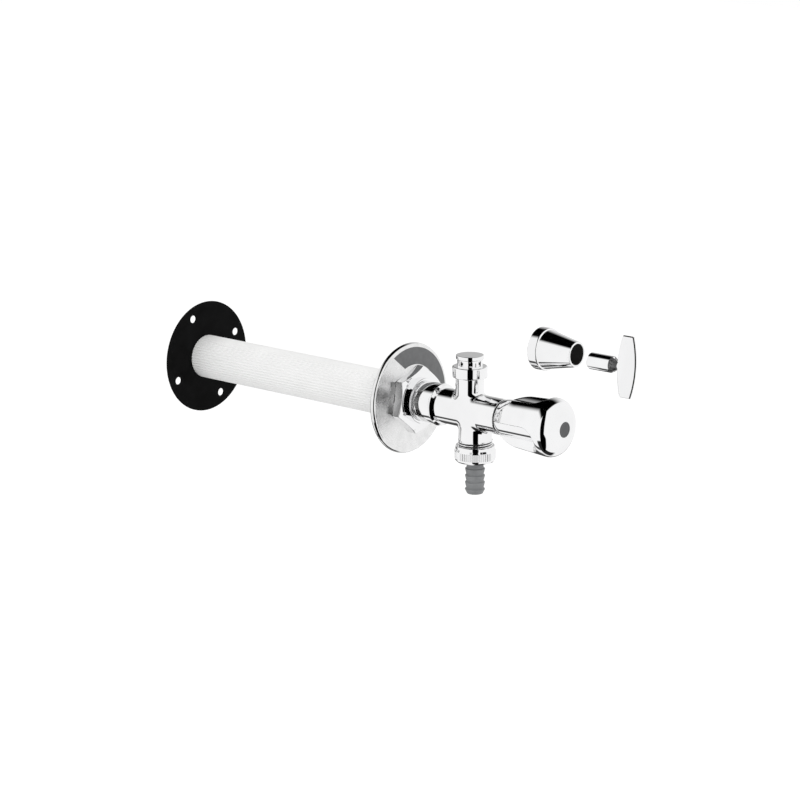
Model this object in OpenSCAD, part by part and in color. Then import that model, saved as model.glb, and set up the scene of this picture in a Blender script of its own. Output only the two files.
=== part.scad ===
// Frost free wall tap: the valve seat sits at the warm end of a sleeve through the wall, and a long rod
// works it from the knob outside. Millimetres, +Z up, the tap points along -Y.
// The origin is on the tap's axis, in the plane where the rosette meets the outer face of the wall.

/* [Wall plate] */
// Thickness of the wall between the plate and the rosette
wall_t = 218.7; // [150:0.1:400]
// Diameter of the plate
plate_d = 91.3; // [84:0.1:120]
// Thickness of the plate
plate_t = 0.8; // [0.6:0.1:4]
// Distance from the plate's edge to the circle of its screw holes
plate_hole_inset = 9.1; // [6:0.1:12]
// Diameter of a screw hole
plate_hole_d = 6.3; // [3:0.1:8]
// Number of screw holes
plate_hole_count = 4; // [3:1:8]
// Turn of the first screw hole from straight up, towards +X
plate_turn = 65.4; // [0:0.1:90]
// Wall of the hub behind the plate, round the sleeve
hub_wall = 3.6; // [2:0.1:6]
// How far the hub stands behind the plate
hub_depth = 10.2; // [8:0.1:16]
// Thickness of the lip that closes the hub
hub_lip = 2.5; // [1.5:0.1:4]

/* [Wall sleeve] */
// Diameter of the sleeve over its ribs
sleeve_d = 35.2; // [34.6:0.1:40]
// Wall of the sleeve at a rib
sleeve_wall = 1.4; // [1.2:0.1:1.6]
// Number of ribs round the sleeve
rib_count = 48; // [24:1:96]
// Height of a rib
rib_h = 0.6; // [0.2:0.1:0.8]

/* [Rosette] */
// Diameter of the rosette
rosette_d = 86.4; // [78:0.1:110]
// Height of the rosette's flat centre above the wall
rosette_h = 7.3; // [5.5:0.1:12]
// Thickness of the rosette's sheet
rosette_sheet = 1.2; // [0.8:0.1:2]
// Radius of the rolled rim
rosette_rim_r = 2.5; // [2.2:0.1:3.5]
// Height of the centre of the rolled rim above the wall
rosette_rim_h = 2; // [1.4:0.1:2.1]
// Diameter of the flat centre
rosette_flat_d = 55; // [50:0.1:62]

/* [Lock nut] */
// Size of the lock nut across its flats
nut_af = 46; // [42:0.1:50]
// Height of the hexagon
nut_h = 7.9; // [5:0.1:12]
// Turn of the hexagon as it was tightened
nut_turn = 10; // [0:1:59]
// Angle of the chamfer on the hexagon's corners
nut_chamfer = 30; // [15:1:40]
// Diameter of the nut's round collar
nut_collar_d = 35.6; // [33:0.1:40]
// Height of the round collar
nut_collar_h = 3.5; // [2:0.1:6]

/* [Valve body] */
// Diameter of the threaded spigot behind the shoulder
spigot_d = 29.2; // [28:0.1:30]
// How far the spigot reaches into the wall
spigot_len = 20; // [17:0.1:40]
// Thread left showing between the lock nut and the shoulder
neck_gap = 0.7; // [0.3:0.1:4]
// Diameter of the shoulder
shoulder_d = 31.6; // [30.5:0.1:36]
// Length of the shoulder
shoulder_len = 15.5; // [10:0.1:24]
// Radius of the shoulder's rear edge
shoulder_r = 2.5; // [1:0.1:4]
// Diameter of the raised ring in front of the shoulder
ring_d = 32.8; // [32:0.1:38]
// Width of the raised ring
ring_w = 3.5; // [2.6:0.1:6]
// Width of the ring's sloping front
ring_slope = 1.7; // [0.6:0.1:1.8]
// Diameter of the barrel
barrel_d = 27.2; // [26:0.1:30]
// Diameter of the water way through the barrel
bore_d = 16.4; // [15.6:0.1:17]
// Distance from the ring to the axis of the aerator branch
branch_off = 24.9; // [18:0.1:34]
// Distance from the axis of the aerator branch to the axis of the outlet
outlet_off = 5.7; // [0:0.1:8]
// Distance from the axis of the outlet to the end of the barrel
barrel_front = 27.5; // [26:0.1:36]

/* [Aerator branch] */
// Diameter of the branch's neck
branch_d = 21.7; // [21:0.1:24]
// Height of the collar's underside above the tap's axis
branch_h = 26; // [23.5:0.1:32]
// Diameter of the collar
branch_collar_d = 26.8; // [25:0.1:30]
// Height of the collar
branch_collar_h = 8.5; // [6:0.1:12]
// Diameter of the air way under the float
air_way_d = 10; // [6:0.1:12]
// Height of the ledge that the float rests on
float_ledge = 15; // [13.5:0.1:16]
// Diameter of the float
float_d = 13.8; // [12.6:0.1:14.2]
// Thickness of the float
float_t = 4; // [2:0.1:5]
// Lift of the float to its seal
float_lift = 3; // [1:0.1:3.4]
// Thickness of the float's seal
float_seal_t = 2; // [1:0.1:3]
// Diameter of the cap's thread
cap_thread_d = 18.5; // [17.6:0.1:18.8]
// Diameter of the cap's slotted band
cap_band_d = 19.2; // [18.6:0.1:20.2]
// Height of the slotted band
cap_band_h = 5.5; // [4:0.1:8]
// Diameter of the cap's top
cap_d = 21.2; // [20.6:0.1:24]
// Height of the cap's top
cap_h = 3.1; // [2:0.1:5]
// Bore of the cap below its top
cap_bore_d = 11; // [9:0.1:13]
// Number of air slots in the band
slot_count = 8; // [4:1:10]
// Width of an air slot
slot_w = 2.4; // [1.5:0.1:3]

/* [Outlet] */
// Diameter of the outlet's neck
outlet_d = 25.4; // [24.4:0.1:26]
// Depth of the neck's end below the tap's axis
outlet_h = 21.8; // [20:0.1:26]
// Diameter of the hose thread
hose_thread_d = 26.4; // [26.2:0.1:28]
// Length of the hose thread
hose_thread_len = 10.2; // [9:0.1:14]
// Thread left showing above the union nut
thread_show = 4.2; // [1:0.1:5]
// Diameter of the way into the check valve
check_way_d = 12; // [9:0.1:12.8]
// Depth of the check valve's seat below the tap's axis
check_seat = 14; // [12:0.1:15]
// Diameter of the check valve's chamber
check_chamber_d = 17.8; // [17:0.1:18]
// Diameter of the cage that holds the check valve
cage_d = 19.2; // [18.8:0.1:20.4]
// Height of the cage
cage_h = 8; // [6:0.1:8.5]
// Diameter of the poppet
poppet_d = 15.2; // [14:0.1:16]
// Thickness of the poppet
poppet_t = 2; // [1.5:0.1:3]
// Thickness of the poppet's seal
poppet_seal_t = 1; // [0.6:0.1:1.6]
// Diameter of the poppet's stem
poppet_stem_d = 3; // [2:0.1:3.4]
// Diameter of the boss that the poppet's seal is pressed on
poppet_boss_d = 4; // [3.4:0.1:5]
// Mean diameter of the check spring
spring_d = 6.6; // [6.2:0.1:8]
// Diameter of the spring's wire
spring_wire = 0.7; // [0.5:0.1:0.9]
// Turns of the check spring
spring_turns = 5; // [3:1:7]

/* [Union nut and hose tail] */
// Diameter of the union nut
union_d = 31.5; // [30.6:0.1:36]
// Diameter of the union nut at its upper edge
union_top_d = 29.8; // [29.2:0.1:30.4]
// Height of the knurled band
knurl_h = 5.7; // [3:0.1:6]
// Number of knurl ridges
knurl_count = 60; // [36:1:72]
// Depth of the knurl
knurl_depth = 0.35; // [0.1:0.05:0.5]
// Thickness of the lip at the bottom of the union nut
union_lip = 2.5; // [1.5:0.1:4]
// Thickness of the hose washer
hose_washer_t = 2; // [1:0.1:3]
// Thickness of the hose tail's flange
tail_flange_t = 2; // [1.5:0.1:4]
// Diameter of the hose tail's neck
tail_neck_d = 17; // [16:0.1:19]
// Bore of the hose tail
tail_bore_d = 9.2; // [7:0.1:10.5]
// Diameter over the barbs
barb_d = 15.1; // [14.4:0.1:16]
// Diameter between the barbs
barb_valley_d = 13; // [12.4:0.1:13.8]
// Number of barbs
barb_count = 4; // [2:1:6]
// Distance between barbs
barb_pitch = 5.3; // [4:0.1:7]
// Length of the tail below its last barb
tail_tip = 3.4; // [2:0.1:6]
// Plain length between the union nut and the first barb
barb_start = 6.1; // [2:0.1:8]

/* [Knob] */
// Gap between the barrel and the knob
knob_gap = 0.5; // [0.3:0.1:1.5]
// Diameter of the knob's rear end
knob_rear_d = 26; // [25.4:0.1:28]
// Diameter at the end of the knob's shoulder
knob_shoulder_d = 41; // [38:0.1:42]
// Length of the knob's shoulder
knob_shoulder_len = 20; // [14:0.1:26]
// Diameter of the knob's rim
knob_rim_d = 44.6; // [42.4:0.1:50]
// Length of the knob's side, from its rear end to the rim
knob_len = 46.1; // [44:0.1:56]
// Radius of the rim's edge
knob_edge_r = 9.2; // [2:0.1:11]
// Slope of the domed face where it meets the edge
knob_dome_slope = 22; // [18:1:36]
// Number of finger flutes
flute_count = 3; // [2:1:4]
// Radius of a finger flute
flute_r = 30; // [16:0.1:36]
// Distance from the axis to the bottom of a flute
flute_bottom = 14.2; // [13.8:0.1:18]
// Distance from the rim to the round end of a flute
flute_short = 0.8; // [0.4:0.1:10]
// Radius of the hollow inside the knob
knob_hollow_r = 12.6; // [12:0.1:13]
// Wall of the knob at its rear end
knob_rear_wall = 1.6; // [1:0.1:1.8]
// Distance of the hub inside the knob in front of the start of the square
knob_hub_start = 1; // [0.5:0.1:3]
// Diameter of the hub inside the knob
knob_hub_d = 14; // [13:0.1:16]
// Diameter of the index plug
plug_d = 11.8; // [10.4:0.1:14]
// Thickness of the index plug
plug_t = 3.2; // [2:0.1:5]

/* [Spindle and rod] */
// Diameter of the spindle
spindle_d = 10; // [9.8:0.1:10.6]
// Length of the gland inside the barrel
gland_len = 19.5; // [18:0.1:22]
// Size of the gland's head across its flats
gland_af = 19; // [18.4:0.1:19.4]
// Height of the gland's head
gland_head_h = 3; // [2:0.1:5]
// Thickness of the gland's washer
gland_washer_t = 0.8; // [0.5:0.1:1.5]
// Diameter of the collar that takes the thrust
thrust_d = 13.6; // [12.8:0.1:15]
// Width of the thrust collar
thrust_w = 2.5; // [1.5:0.1:4]
// Distance that the spindle reaches behind the gland
spindle_back = 31; // [26:0.1:36]
// Diameter of the spindle's tail
tail_d = 12.4; // [11.6:0.1:13.6]
// Length of the spindle's tail
tail_len = 18; // [16:0.1:22]
// Depth of the rod's socket in the tail
rod_socket = 14; // [11:0.1:15]
// Diameter of the operating rod
rod_d = 8; // [7:0.1:8.6]
// Diameter of the cross pin
pin_d = 2.5; // [1.5:0.1:3]
// Thickness of the retaining clip
clip_t = 1; // [0.6:0.1:1.6]
// Diameter of the retaining clip
clip_d = 13.4; // [12.4:0.1:15]
// Diameter of the groove for the clip
clip_groove_d = 8.6; // [8:0.1:9]
// Diameter of a spindle ring's section
ring_section = 1; // [0.8:0.05:1.2]
// Round length of the spindle between the clip and the square
square_start = 2.5; // [1.5:0.1:5]
// Size of the square end across its flats
square_w = 7; // [6:0.1:7]
// Length of the square end
square_len = 20; // [14:0.1:24]
// Diameter of the knob's screw
screw_d = 4; // [3:0.1:4.4]
// Length of the knob's screw
screw_len = 18; // [14:0.1:20]
// Diameter of the screw's head
screw_head_d = 7.6; // [6.4:0.1:8]
// Height of the screw's head
screw_head_h = 3; // [2:0.1:4]
// Thickness of the knob's hub under the screw's head
screw_seat_t = 9; // [6:0.1:11]

/* [Valve seat] */
// Distance of the seat behind the front of the plate
seat_back = 5.3; // [2:0.1:8]
// Diameter of the opening in the seat
seat_way_d = 9; // [7:0.1:10]
// Thickness of the seat
seat_t = 5; // [3:0.1:6]
// Diameter of the seat housing
housing_d = 25.2; // [24.6:0.1:27]
// How far the housing stands behind the hub
housing_out = 3; // [2:0.1:5]
// Diameter of the inlet thread
inlet_d = 20.95; // [19:0.05:22]
// Length of the inlet thread
inlet_len = 18; // [12:0.1:18]
// Bore of the inlet
inlet_bore_d = 15; // [11:0.1:16]
// Length of the guide for the plunger
guide_len = 16; // [12:0.1:20]
// Size of the plunger across its flats
plunger_af = 14; // [13:0.1:14.6]
// Length of the plunger
plunger_len = 18; // [16:0.1:24]
// Depth of the plunger's threaded hole
plunger_hole = 12; // [9:0.1:12.5]
// Diameter of the rod's threaded end
rod_thread_d = 6; // [4:0.1:6.5]
// Thickness of the seat washer
washer_t = 3; // [2:0.1:4]
// Diameter of the seat washer
washer_d = 13.4; // [12:0.1:13.8]
// Diameter of the washer's screw
washer_screw_d = 3; // [2:0.1:3.5]
// Length of the washer's screw in the plunger
washer_screw_len = 4.5; // [3:0.1:5]
// Diameter of the head of the washer's screw
washer_screw_head_d = 6; // [4.5:0.1:6.4]
// Height of the head of the washer's screw
washer_screw_head_h = 1.8; // [1:0.1:2.4]
// Lead of the rod's thread
rod_lead = 2.5; // [1:0.1:3]
// Turns of the knob from closed to open
open_turns = 2; // [1:0.25:2]
// Diameter of the inner pipe
pipe_d = 22; // [20.6:0.1:22.4]
// Wall of the inner pipe
pipe_wall = 1; // [0.7:0.1:1.3]
// Length of the pipe in the seat housing
pipe_socket = 8; // [5:0.1:12]
// Length of the pipe in the spigot
pipe_joint = 15; // [10:0.1:16]

/* [Lock cone and key] */
// Distance of the cone in front of the barrel, where it lies taken off
cone_off = 34; // [20:0.1:60]
// Height of the cone's axis above the tap's axis
cone_z = 58.3; // [50:0.1:80]
// Wall of the cone's collar round the barrel
cone_collar_wall = 2.05; // [1.5:0.05:4]
// Width of the cone's collar
cone_collar_w = 8.3; // [6:0.1:12]
// Diameter of the cone at its collar
cone_d = 29; // [27:0.1:30.6]
// Diameter of the cone's front end
cone_front_d = 18.8; // [17.6:0.1:22]
// Length of the cone in front of its collar
cone_len = 25.9; // [18:0.1:36]
// Bore of the cone
cone_bore_d = 15.8; // [13.4:0.1:16.4]
// Depth of the socket that fits over the barrel
cone_socket = 6.5; // [4:0.1:7.5]
// Wall of the cone behind its bore
cone_wall = 1.8; // [1:0.1:2.4]
// Length of the straight bore at the cone's front end
cone_lip = 5; // [2:0.1:8]
// Distance between the cone and the key, where they lie
key_gap = 13.1; // [4:0.1:30]
// Turn of the key as it lies
key_turn = 4; // [-10:1:10]
// Drop of the key below the cone's axis, as it lies
key_drop = 2.5; // [0:0.1:2.6]
// Diameter of the key's shank
key_d = 12.3; // [11.6:0.1:13]
// Length of the key's shank
key_len = 24.9; // [22:0.1:34]
// Depth of the key's square socket
key_socket = 12; // [8:0.1:14]
// Length of the taper at the end of the shank
key_taper = 5.5; // [5:0.1:7]
// Depth of the slot that holds the wing
key_slot = 5; // [4:0.1:7]
// Height of the key's wing
wing_h = 45.4; // [36:0.1:56]
// Width of the wing at its middle
wing_w = 16.5; // [12:0.1:20]
// Width of the wing at its ends
wing_end_w = 9.4; // [6:0.1:11]
// Thickness of the wing
wing_t = 2.5; // [1.5:0.1:3.5]
// How far the wing's middle reaches into the slot
wing_sunk = 1; // [0.6:0.1:3]

/* [Clearances] */
// Radial clearance of a turning or sliding fit
run_fit = 0.06; // [0.02:0.01:0.1]
// Radial clearance between fixed pieces
fixed_fit = 0.05; // [0.02:0.01:0.1]
// Radial clearance of a thread
thread_fit = 0.1; // [0.05:0.01:0.15]
// End clearance between a turning face and its stop
end_gap = 0.1; // [0.05:0.01:0.3]
// Radial gap round the float
float_play = 0.6; // [0.4:0.1:0.8]
// Radial gap round the knob's screw
screw_play = 0.2; // [0.1:0.05:0.3]
// Clearance between the rod and the plunger's hole
tip_gap = 0.5; // [0.3:0.1:1]

/* [Hidden] */
$fn = 64;
eps = 0.5;
arc_steps = 10;
// Places along the tap's axis, from the wall face outwards
s_nut_end = rosette_h + nut_h;
s_collar_end = s_nut_end + nut_collar_h;
s_shoulder = s_collar_end + neck_gap;
s_ring = s_shoulder + shoulder_len;
s_ring_end = s_ring + ring_w;
s_branch = s_ring_end + branch_off;
s_outlet = s_branch + outlet_off;
s_barrel_end = s_outlet + barrel_front;
s_gland = s_barrel_end - gland_len;
s_gland_head = s_barrel_end + gland_washer_t;
s_gland_end = s_gland_head + gland_head_h;
s_spindle = s_gland - spindle_back;
s_tail_end = s_spindle + tail_len;
s_thrust_end = s_gland - end_gap;
s_clip = s_gland_end + end_gap;
s_square = s_clip + clip_t + square_start;
s_square_end = s_square + square_len;
s_screw_seat = s_square_end + screw_seat_t;
s_rod_end = s_spindle + rod_socket;
s_pin = s_spindle + rod_socket / 2;
// Places along the tap's axis, behind the wall face
s_spigot = -spigot_len;
s_pipe_front = s_spigot + pipe_joint;
s_plate = -wall_t;
s_plate_back = s_plate - plate_t;
s_hub_back = s_plate_back - hub_depth;
s_sleeve = s_hub_back + hub_lip;
s_seat = s_plate - seat_back;
s_seat_back = s_seat - seat_t;
s_guide_end = s_seat + guide_len;
s_housing_front = s_guide_end + pipe_socket;
s_housing_back = s_hub_back - housing_out;
s_inlet_end = s_housing_back - inlet_len;
s_plunger = s_seat + washer_t;
s_plunger_end = s_plunger + plunger_len;
valve_travel = rod_lead * open_turns;
s_rod_tip = s_plunger_end - plunger_hole + valve_travel + tip_gap;
s_rod_shoulder = s_plunger_end + valve_travel + tip_gap;
// Heights of the aerator branch
z_collar_end = branch_h + branch_collar_h;
z_float_top = float_ledge + float_t;
z_float_seal = z_float_top + float_lift;
z_cap_thread = z_float_seal + float_seal_t;
z_band_end = z_collar_end + cap_band_h;
z_cap_end = z_band_end + cap_h;
float_bore_d = float_d + 2 * float_play;
// Depths of the outlet, as heights below the axis
z_thread = -outlet_h;
z_outlet_end = z_thread - hose_thread_len;
z_cage_top = z_outlet_end + cage_h;
z_poppet = -check_seat - poppet_seal_t;
z_poppet_under = z_poppet - poppet_t;
cage_floor_t = 2.5;
z_cage_floor = z_outlet_end + cage_floor_t;
z_union_top = z_thread - thread_show;
z_tail_top = z_outlet_end - hose_washer_t;
z_tail_flange = z_tail_top - tail_flange_t;
z_union_end = z_tail_flange - union_lip;
z_knurl_end = z_union_end + union_lip;
z_knurl = z_knurl_end + knurl_h;
z_barb = z_union_end - barb_start;
z_tail_end = z_barb - barb_pitch * (barb_count - 1) - tail_tip;
// The knob's profile
s_knob = s_barrel_end + knob_gap;
s_rim = s_knob + knob_len;
knob_rear_hollow = knob_rear_d / 2 - knob_rear_wall;
dome_angle = 90 - knob_dome_slope;
edge_centre_r = knob_rim_d / 2 - knob_edge_r;
dome_edge_r = edge_centre_r + knob_edge_r * cos(dome_angle);
dome_edge_s = s_rim + knob_edge_r * sin(dome_angle);
dome_r = dome_edge_r / cos(dome_angle);
dome_centre_s = dome_edge_s - dome_r * sin(dome_angle);
s_apex = dome_centre_s + dome_r;
s_hub_rear = s_square + knob_hub_start;
head_hole_d = screw_head_d + 2 * screw_play;
flute_axis = flute_bottom + flute_r;
flute_reach = sqrt(pow(flute_r, 2) - pow(flute_axis - knob_rim_d / 2, 2));
s_flute_round = s_rim - flute_short - flute_reach;
// The lock cone and the key
s_cone = s_barrel_end + cone_off;
s_cone_collar = s_cone + cone_collar_w;
s_cone_end = s_cone_collar + cone_len;
s_key = s_cone_end + key_gap;
s_key_end = s_key + key_len;
s_wing = s_key_end - wing_sunk + wing_w / 2;
s_slot = s_key_end - key_slot;

function arc(x, y, r, from, to, steps = arc_steps) =
    [for (i = [0:steps]) let (a = from + (to - from) * i / steps) [x + r * cos(a), y + r * sin(a)]];

// A ribbed outline: each rib has a flat crest and a flat root
rib_corners = [0.1, 0.4, 0.6, 0.9];
function ribbed(count, crest_r, root_r) =
    [for (i = [0:count - 1], k = [0:3])
        let (a = 360 / count * (i + rib_corners[k]), r = k < 2 ? crest_r : root_r)
        [r * cos(a), r * sin(a)]];

// Stands a shape on the tap's axis: its z runs out of the wall from place s, its y runs up
module along(s = 0) {
    rotate([90, 0, 0])
        translate([0, 0, s])
            children();
}

module rod(d, from, to) {
    along(from)
        cylinder(d = d, h = to - from);
}

module turned(points) {
    along()
        rotate_extrude()
            polygon(points);
}

module on_branch(z = 0) {
    translate([0, -s_branch, z])
        children();
}

module on_outlet(z = 0) {
    translate([0, -s_outlet, z])
        children();
}

module on_cone() {
    translate([0, 0, cone_z])
        children();
}

// A flat moulded disc with a hub behind it that takes the end of the sleeve
module wall_plate() {
    color("#161616")
        difference() {
            union() {
                rod(plate_d, s_plate_back, s_plate);
                rod(sleeve_d + 2 * hub_wall, s_hub_back, s_plate);
            }
            rod(sleeve_d + 2 * fixed_fit, s_sleeve, s_plate + eps);
            rod(housing_d + 2 * fixed_fit, s_hub_back - eps, s_plate);
            for (i = [0:plate_hole_count - 1])
                rotate([0, plate_turn + 360 / plate_hole_count * i, 0])
                    translate([0, 0, plate_d / 2 - plate_hole_inset])
                        rod(plate_hole_d, s_plate_back - eps, s_plate + eps);
        }
}

// An extruded plastic tube with fine ribs along it, so that it keys into the mortar
module wall_sleeve() {
    color("#f2f2f0")
        along(s_sleeve)
            linear_extrude(rosette_h - rosette_sheet - s_sleeve)
                difference() {
                    polygon(ribbed(rib_count, sleeve_d / 2, sleeve_d / 2 - rib_h));
                    circle(d = sleeve_d - 2 * sleeve_wall);
                }
}

// A dished sheet disc: a rolled rim on the wall, a sloping face and a flat centre under the nut
module rosette() {
    rim_x = rosette_d / 2 - rosette_rim_r;
    inner_r = rosette_rim_r - rosette_sheet;
    flat_r = rosette_flat_d / 2;
    bore_r = spigot_d / 2 + thread_fit;
    rim_foot = -asin(rosette_rim_h / rosette_rim_r);
    color("#d8d8d8")
        turned(concat(
            arc(rim_x, rosette_rim_h, rosette_rim_r, rim_foot, 90),
            [[flat_r, rosette_h], [bore_r, rosette_h], [bore_r, rosette_h - rosette_sheet],
             [flat_r, rosette_h - rosette_sheet]],
            arc(rim_x, rosette_rim_h, inner_r, 90, 0),
            [[rim_x + rosette_rim_r * cos(rim_foot) - rosette_sheet, 0]]));
}

module lock_nut() {
    corner_r = nut_af / 2 / cos(30);
    face_inset = 0.4;
    face_r = nut_af / 2 - face_inset;
    chamfer_h = (corner_r - face_r) * tan(nut_chamfer);
    color("silver")
        difference() {
            union() {
                intersection() {
                    along(rosette_h)
                        rotate(30 - nut_turn)
                            cylinder(r = corner_r, h = nut_h, $fn = 6);
                    turned([[0, rosette_h], [corner_r + eps, rosette_h],
                            [corner_r + eps, s_nut_end - chamfer_h - eps * tan(nut_chamfer)],
                            [face_r, s_nut_end], [0, s_nut_end]]);
                }
                rod(nut_collar_d, s_nut_end - eps, s_collar_end);
            }
            rod(spigot_d + 2 * thread_fit, rosette_h - eps, s_collar_end + eps);
        }
}

// One casting: the threaded spigot, the barrel, the aerator branch on top and the outlet below
module valve_body() {
    shoulder_x = shoulder_d / 2 - shoulder_r;
    ring_edge = (ring_d - shoulder_d) / 2;
    collar_edge = 0.9;
    spigot_edge = 1;
    color("silver")
        difference() {
            union() {
                turned([[0, s_spigot], [spigot_d / 2 - spigot_edge, s_spigot],
                        [spigot_d / 2, s_spigot + spigot_edge],
                        [spigot_d / 2, s_shoulder + shoulder_r], [0, s_shoulder + shoulder_r]]);
                turned(concat(
                    [[0, s_shoulder]],
                    arc(shoulder_x, s_shoulder + shoulder_r, shoulder_r, -90, 0),
                    [[shoulder_d / 2, s_ring], [ring_d / 2, s_ring + ring_edge],
                     [ring_d / 2, s_ring_end - ring_slope], [ring_d / 2 - ring_slope, s_ring_end],
                     [barrel_d / 2, s_ring_end], [barrel_d / 2, s_barrel_end], [0, s_barrel_end]]));
                on_branch()
                    cylinder(d = branch_d, h = branch_h + eps);
                on_branch()
                    rotate_extrude()
                        polygon([[0, branch_h], [branch_collar_d / 2 - collar_edge, branch_h],
                                 [branch_collar_d / 2, branch_h + collar_edge],
                                 [branch_collar_d / 2, z_collar_end - collar_edge],
                                 [branch_collar_d / 2 - collar_edge, z_collar_end], [0, z_collar_end]]);
                on_outlet(-outlet_h)
                    cylinder(d = outlet_d, h = outlet_h);
                on_outlet(z_outlet_end)
                    cylinder(d = hose_thread_d, h = hose_thread_len);
            }
            rod(pipe_d + 2 * fixed_fit, s_spigot - eps, s_pipe_front);
            rod(bore_d, s_spigot, s_barrel_end + eps);
            on_branch()
                cylinder(d = air_way_d, h = z_cap_thread);
            on_branch(float_ledge)
                cylinder(d = float_bore_d, h = z_cap_thread - float_ledge);
            on_branch(z_float_seal)
                cylinder(d = cap_thread_d + 2 * fixed_fit, h = z_collar_end - z_float_seal + eps);
            on_outlet(-check_seat - eps)
                cylinder(d = check_way_d, h = check_seat + eps);
            on_outlet(z_outlet_end - eps)
                cylinder(d = check_chamber_d, h = -check_seat - z_outlet_end + eps);
            on_outlet(z_outlet_end - eps)
                cylinder(d = cage_d + 2 * fixed_fit, h = cage_h + eps);
        }
}

module inner_pipe() {
    color("#b87333")
        difference() {
            rod(pipe_d, s_guide_end, s_pipe_front);
            rod(pipe_d - 2 * pipe_wall, s_guide_end - eps, s_pipe_front + eps);
        }
}

// The valve seat at the warm end, with the guide for the plunger and the inlet thread
module seat_housing() {
    color("#c9a646")
        difference() {
            union() {
                rod(housing_d, s_housing_back, s_housing_front);
                rod(inlet_d, s_inlet_end, s_housing_back + eps);
            }
            rod(pipe_d + 2 * fixed_fit, s_guide_end, s_housing_front + eps);
            along(s_seat)
                cylinder(d = (plunger_af + 2 * run_fit) / cos(30), h = guide_len + eps, $fn = 6);
            rod(seat_way_d, s_seat_back - eps, s_seat + eps);
            rod(inlet_bore_d, s_inlet_end - eps, s_seat_back);
        }
}

module gland() {
    color("#c9a646")
        difference() {
            union() {
                rod(bore_d - 2 * fixed_fit, s_gland, s_gland_head);
                along(s_gland_head)
                    cylinder(d = gland_af / cos(30), h = gland_head_h, $fn = 6);
            }
            rod(spindle_d + 2 * run_fit, s_gland - eps, s_gland_end + eps);
        }
}

module gland_washer() {
    color("#7a4a32")
        difference() {
            rod(gland_af, s_barrel_end, s_gland_head);
            rod(bore_d, s_barrel_end - eps, s_gland_head + eps);
        }
}

// The screwed cap of the aerator: a thread, a slotted band that lets the air in, and a plain top
module aerator_cap() {
    edge = 0.5;
    slot_land = 0.8;
    slot_h = cap_band_h - 2 * slot_land;
    color("#c8c8c8")
        on_branch()
            difference() {
                rotate_extrude()
                    polygon([[0, z_cap_thread], [cap_thread_d / 2, z_cap_thread],
                             [cap_thread_d / 2, z_collar_end], [cap_band_d / 2, z_collar_end],
                             [cap_band_d / 2, z_band_end], [cap_d / 2 - edge, z_band_end],
                             [cap_d / 2, z_band_end + edge], [cap_d / 2, z_cap_end - edge],
                             [cap_d / 2 - edge, z_cap_end], [0, z_cap_end]]);
                translate([0, 0, z_cap_thread - eps])
                    cylinder(d = cap_bore_d, h = z_band_end - z_cap_thread + eps);
                for (i = [0:slot_count - 1])
                    rotate(360 / slot_count * i)
                        translate([0, -slot_w / 2, z_collar_end + slot_land])
                            cube([cap_d, slot_w, slot_h]);
            }
}

module aerator_seal() {
    color("#202020")
        on_branch(z_float_seal)
            difference() {
                cylinder(d = cap_thread_d, h = float_seal_t);
                translate([0, 0, -eps])
                    cylinder(d = air_way_d, h = float_seal_t + 2 * eps);
            }
}

module aerator_float() {
    edge = 0.6;
    color("#e8e4d8")
        on_branch()
            rotate_extrude()
                polygon([[0, float_ledge], [float_d / 2 - edge, float_ledge],
                         [float_d / 2, float_ledge + edge], [float_d / 2, z_float_top - edge],
                         [float_d / 2 - edge, z_float_top], [0, z_float_top]]);
}

// A moulded ring with three spokes and a hub that guides the poppet's stem
module check_cage() {
    guide_wall = 1.5;
    hub_d = poppet_stem_d + 2 * guide_wall;
    wall = 1.4;
    spoke_w = 2;
    stem_bore = poppet_stem_d + 2 * run_fit;
    spoke_in = (stem_bore + guide_wall) / 2;
    color("#e8e4d8")
        on_outlet(z_outlet_end)
            difference() {
                union() {
                    difference() {
                        cylinder(d = cage_d, h = cage_h);
                        translate([0, 0, -eps])
                            cylinder(d = cage_d - 2 * wall, h = cage_h + 2 * eps);
                    }
                    cylinder(d = hub_d, h = cage_floor_t);
                    for (i = [0:2])
                        rotate(90 + 120 * i)
                            translate([spoke_in, -spoke_w / 2, 0])
                                cube([(cage_d - wall) / 2 - spoke_in, spoke_w, cage_floor_t]);
                }
                translate([0, 0, -eps])
                    cylinder(d = stem_bore, h = cage_floor_t + 2 * eps);
            }
}

module check_poppet() {
    stem_short = 0.5;
    boss_show = 0.6;
    stem_end = z_outlet_end + stem_short;
    color("#e8e4d8")
        on_outlet() {
            translate([0, 0, z_poppet_under])
                cylinder(d = poppet_d, h = poppet_t);
            translate([0, 0, z_poppet])
                cylinder(d = poppet_boss_d - 2 * fixed_fit, h = poppet_seal_t + boss_show);
            translate([0, 0, stem_end])
                cylinder(d = poppet_stem_d, h = z_poppet_under - stem_end);
        }
}

module check_seal() {
    rim_inset = 0.2;
    color("#202020")
        on_outlet(z_poppet)
            difference() {
                cylinder(d = poppet_d - 2 * rim_inset, h = poppet_seal_t);
                translate([0, 0, -eps])
                    cylinder(d = poppet_boss_d, h = poppet_seal_t + 2 * eps);
            }
}

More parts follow.
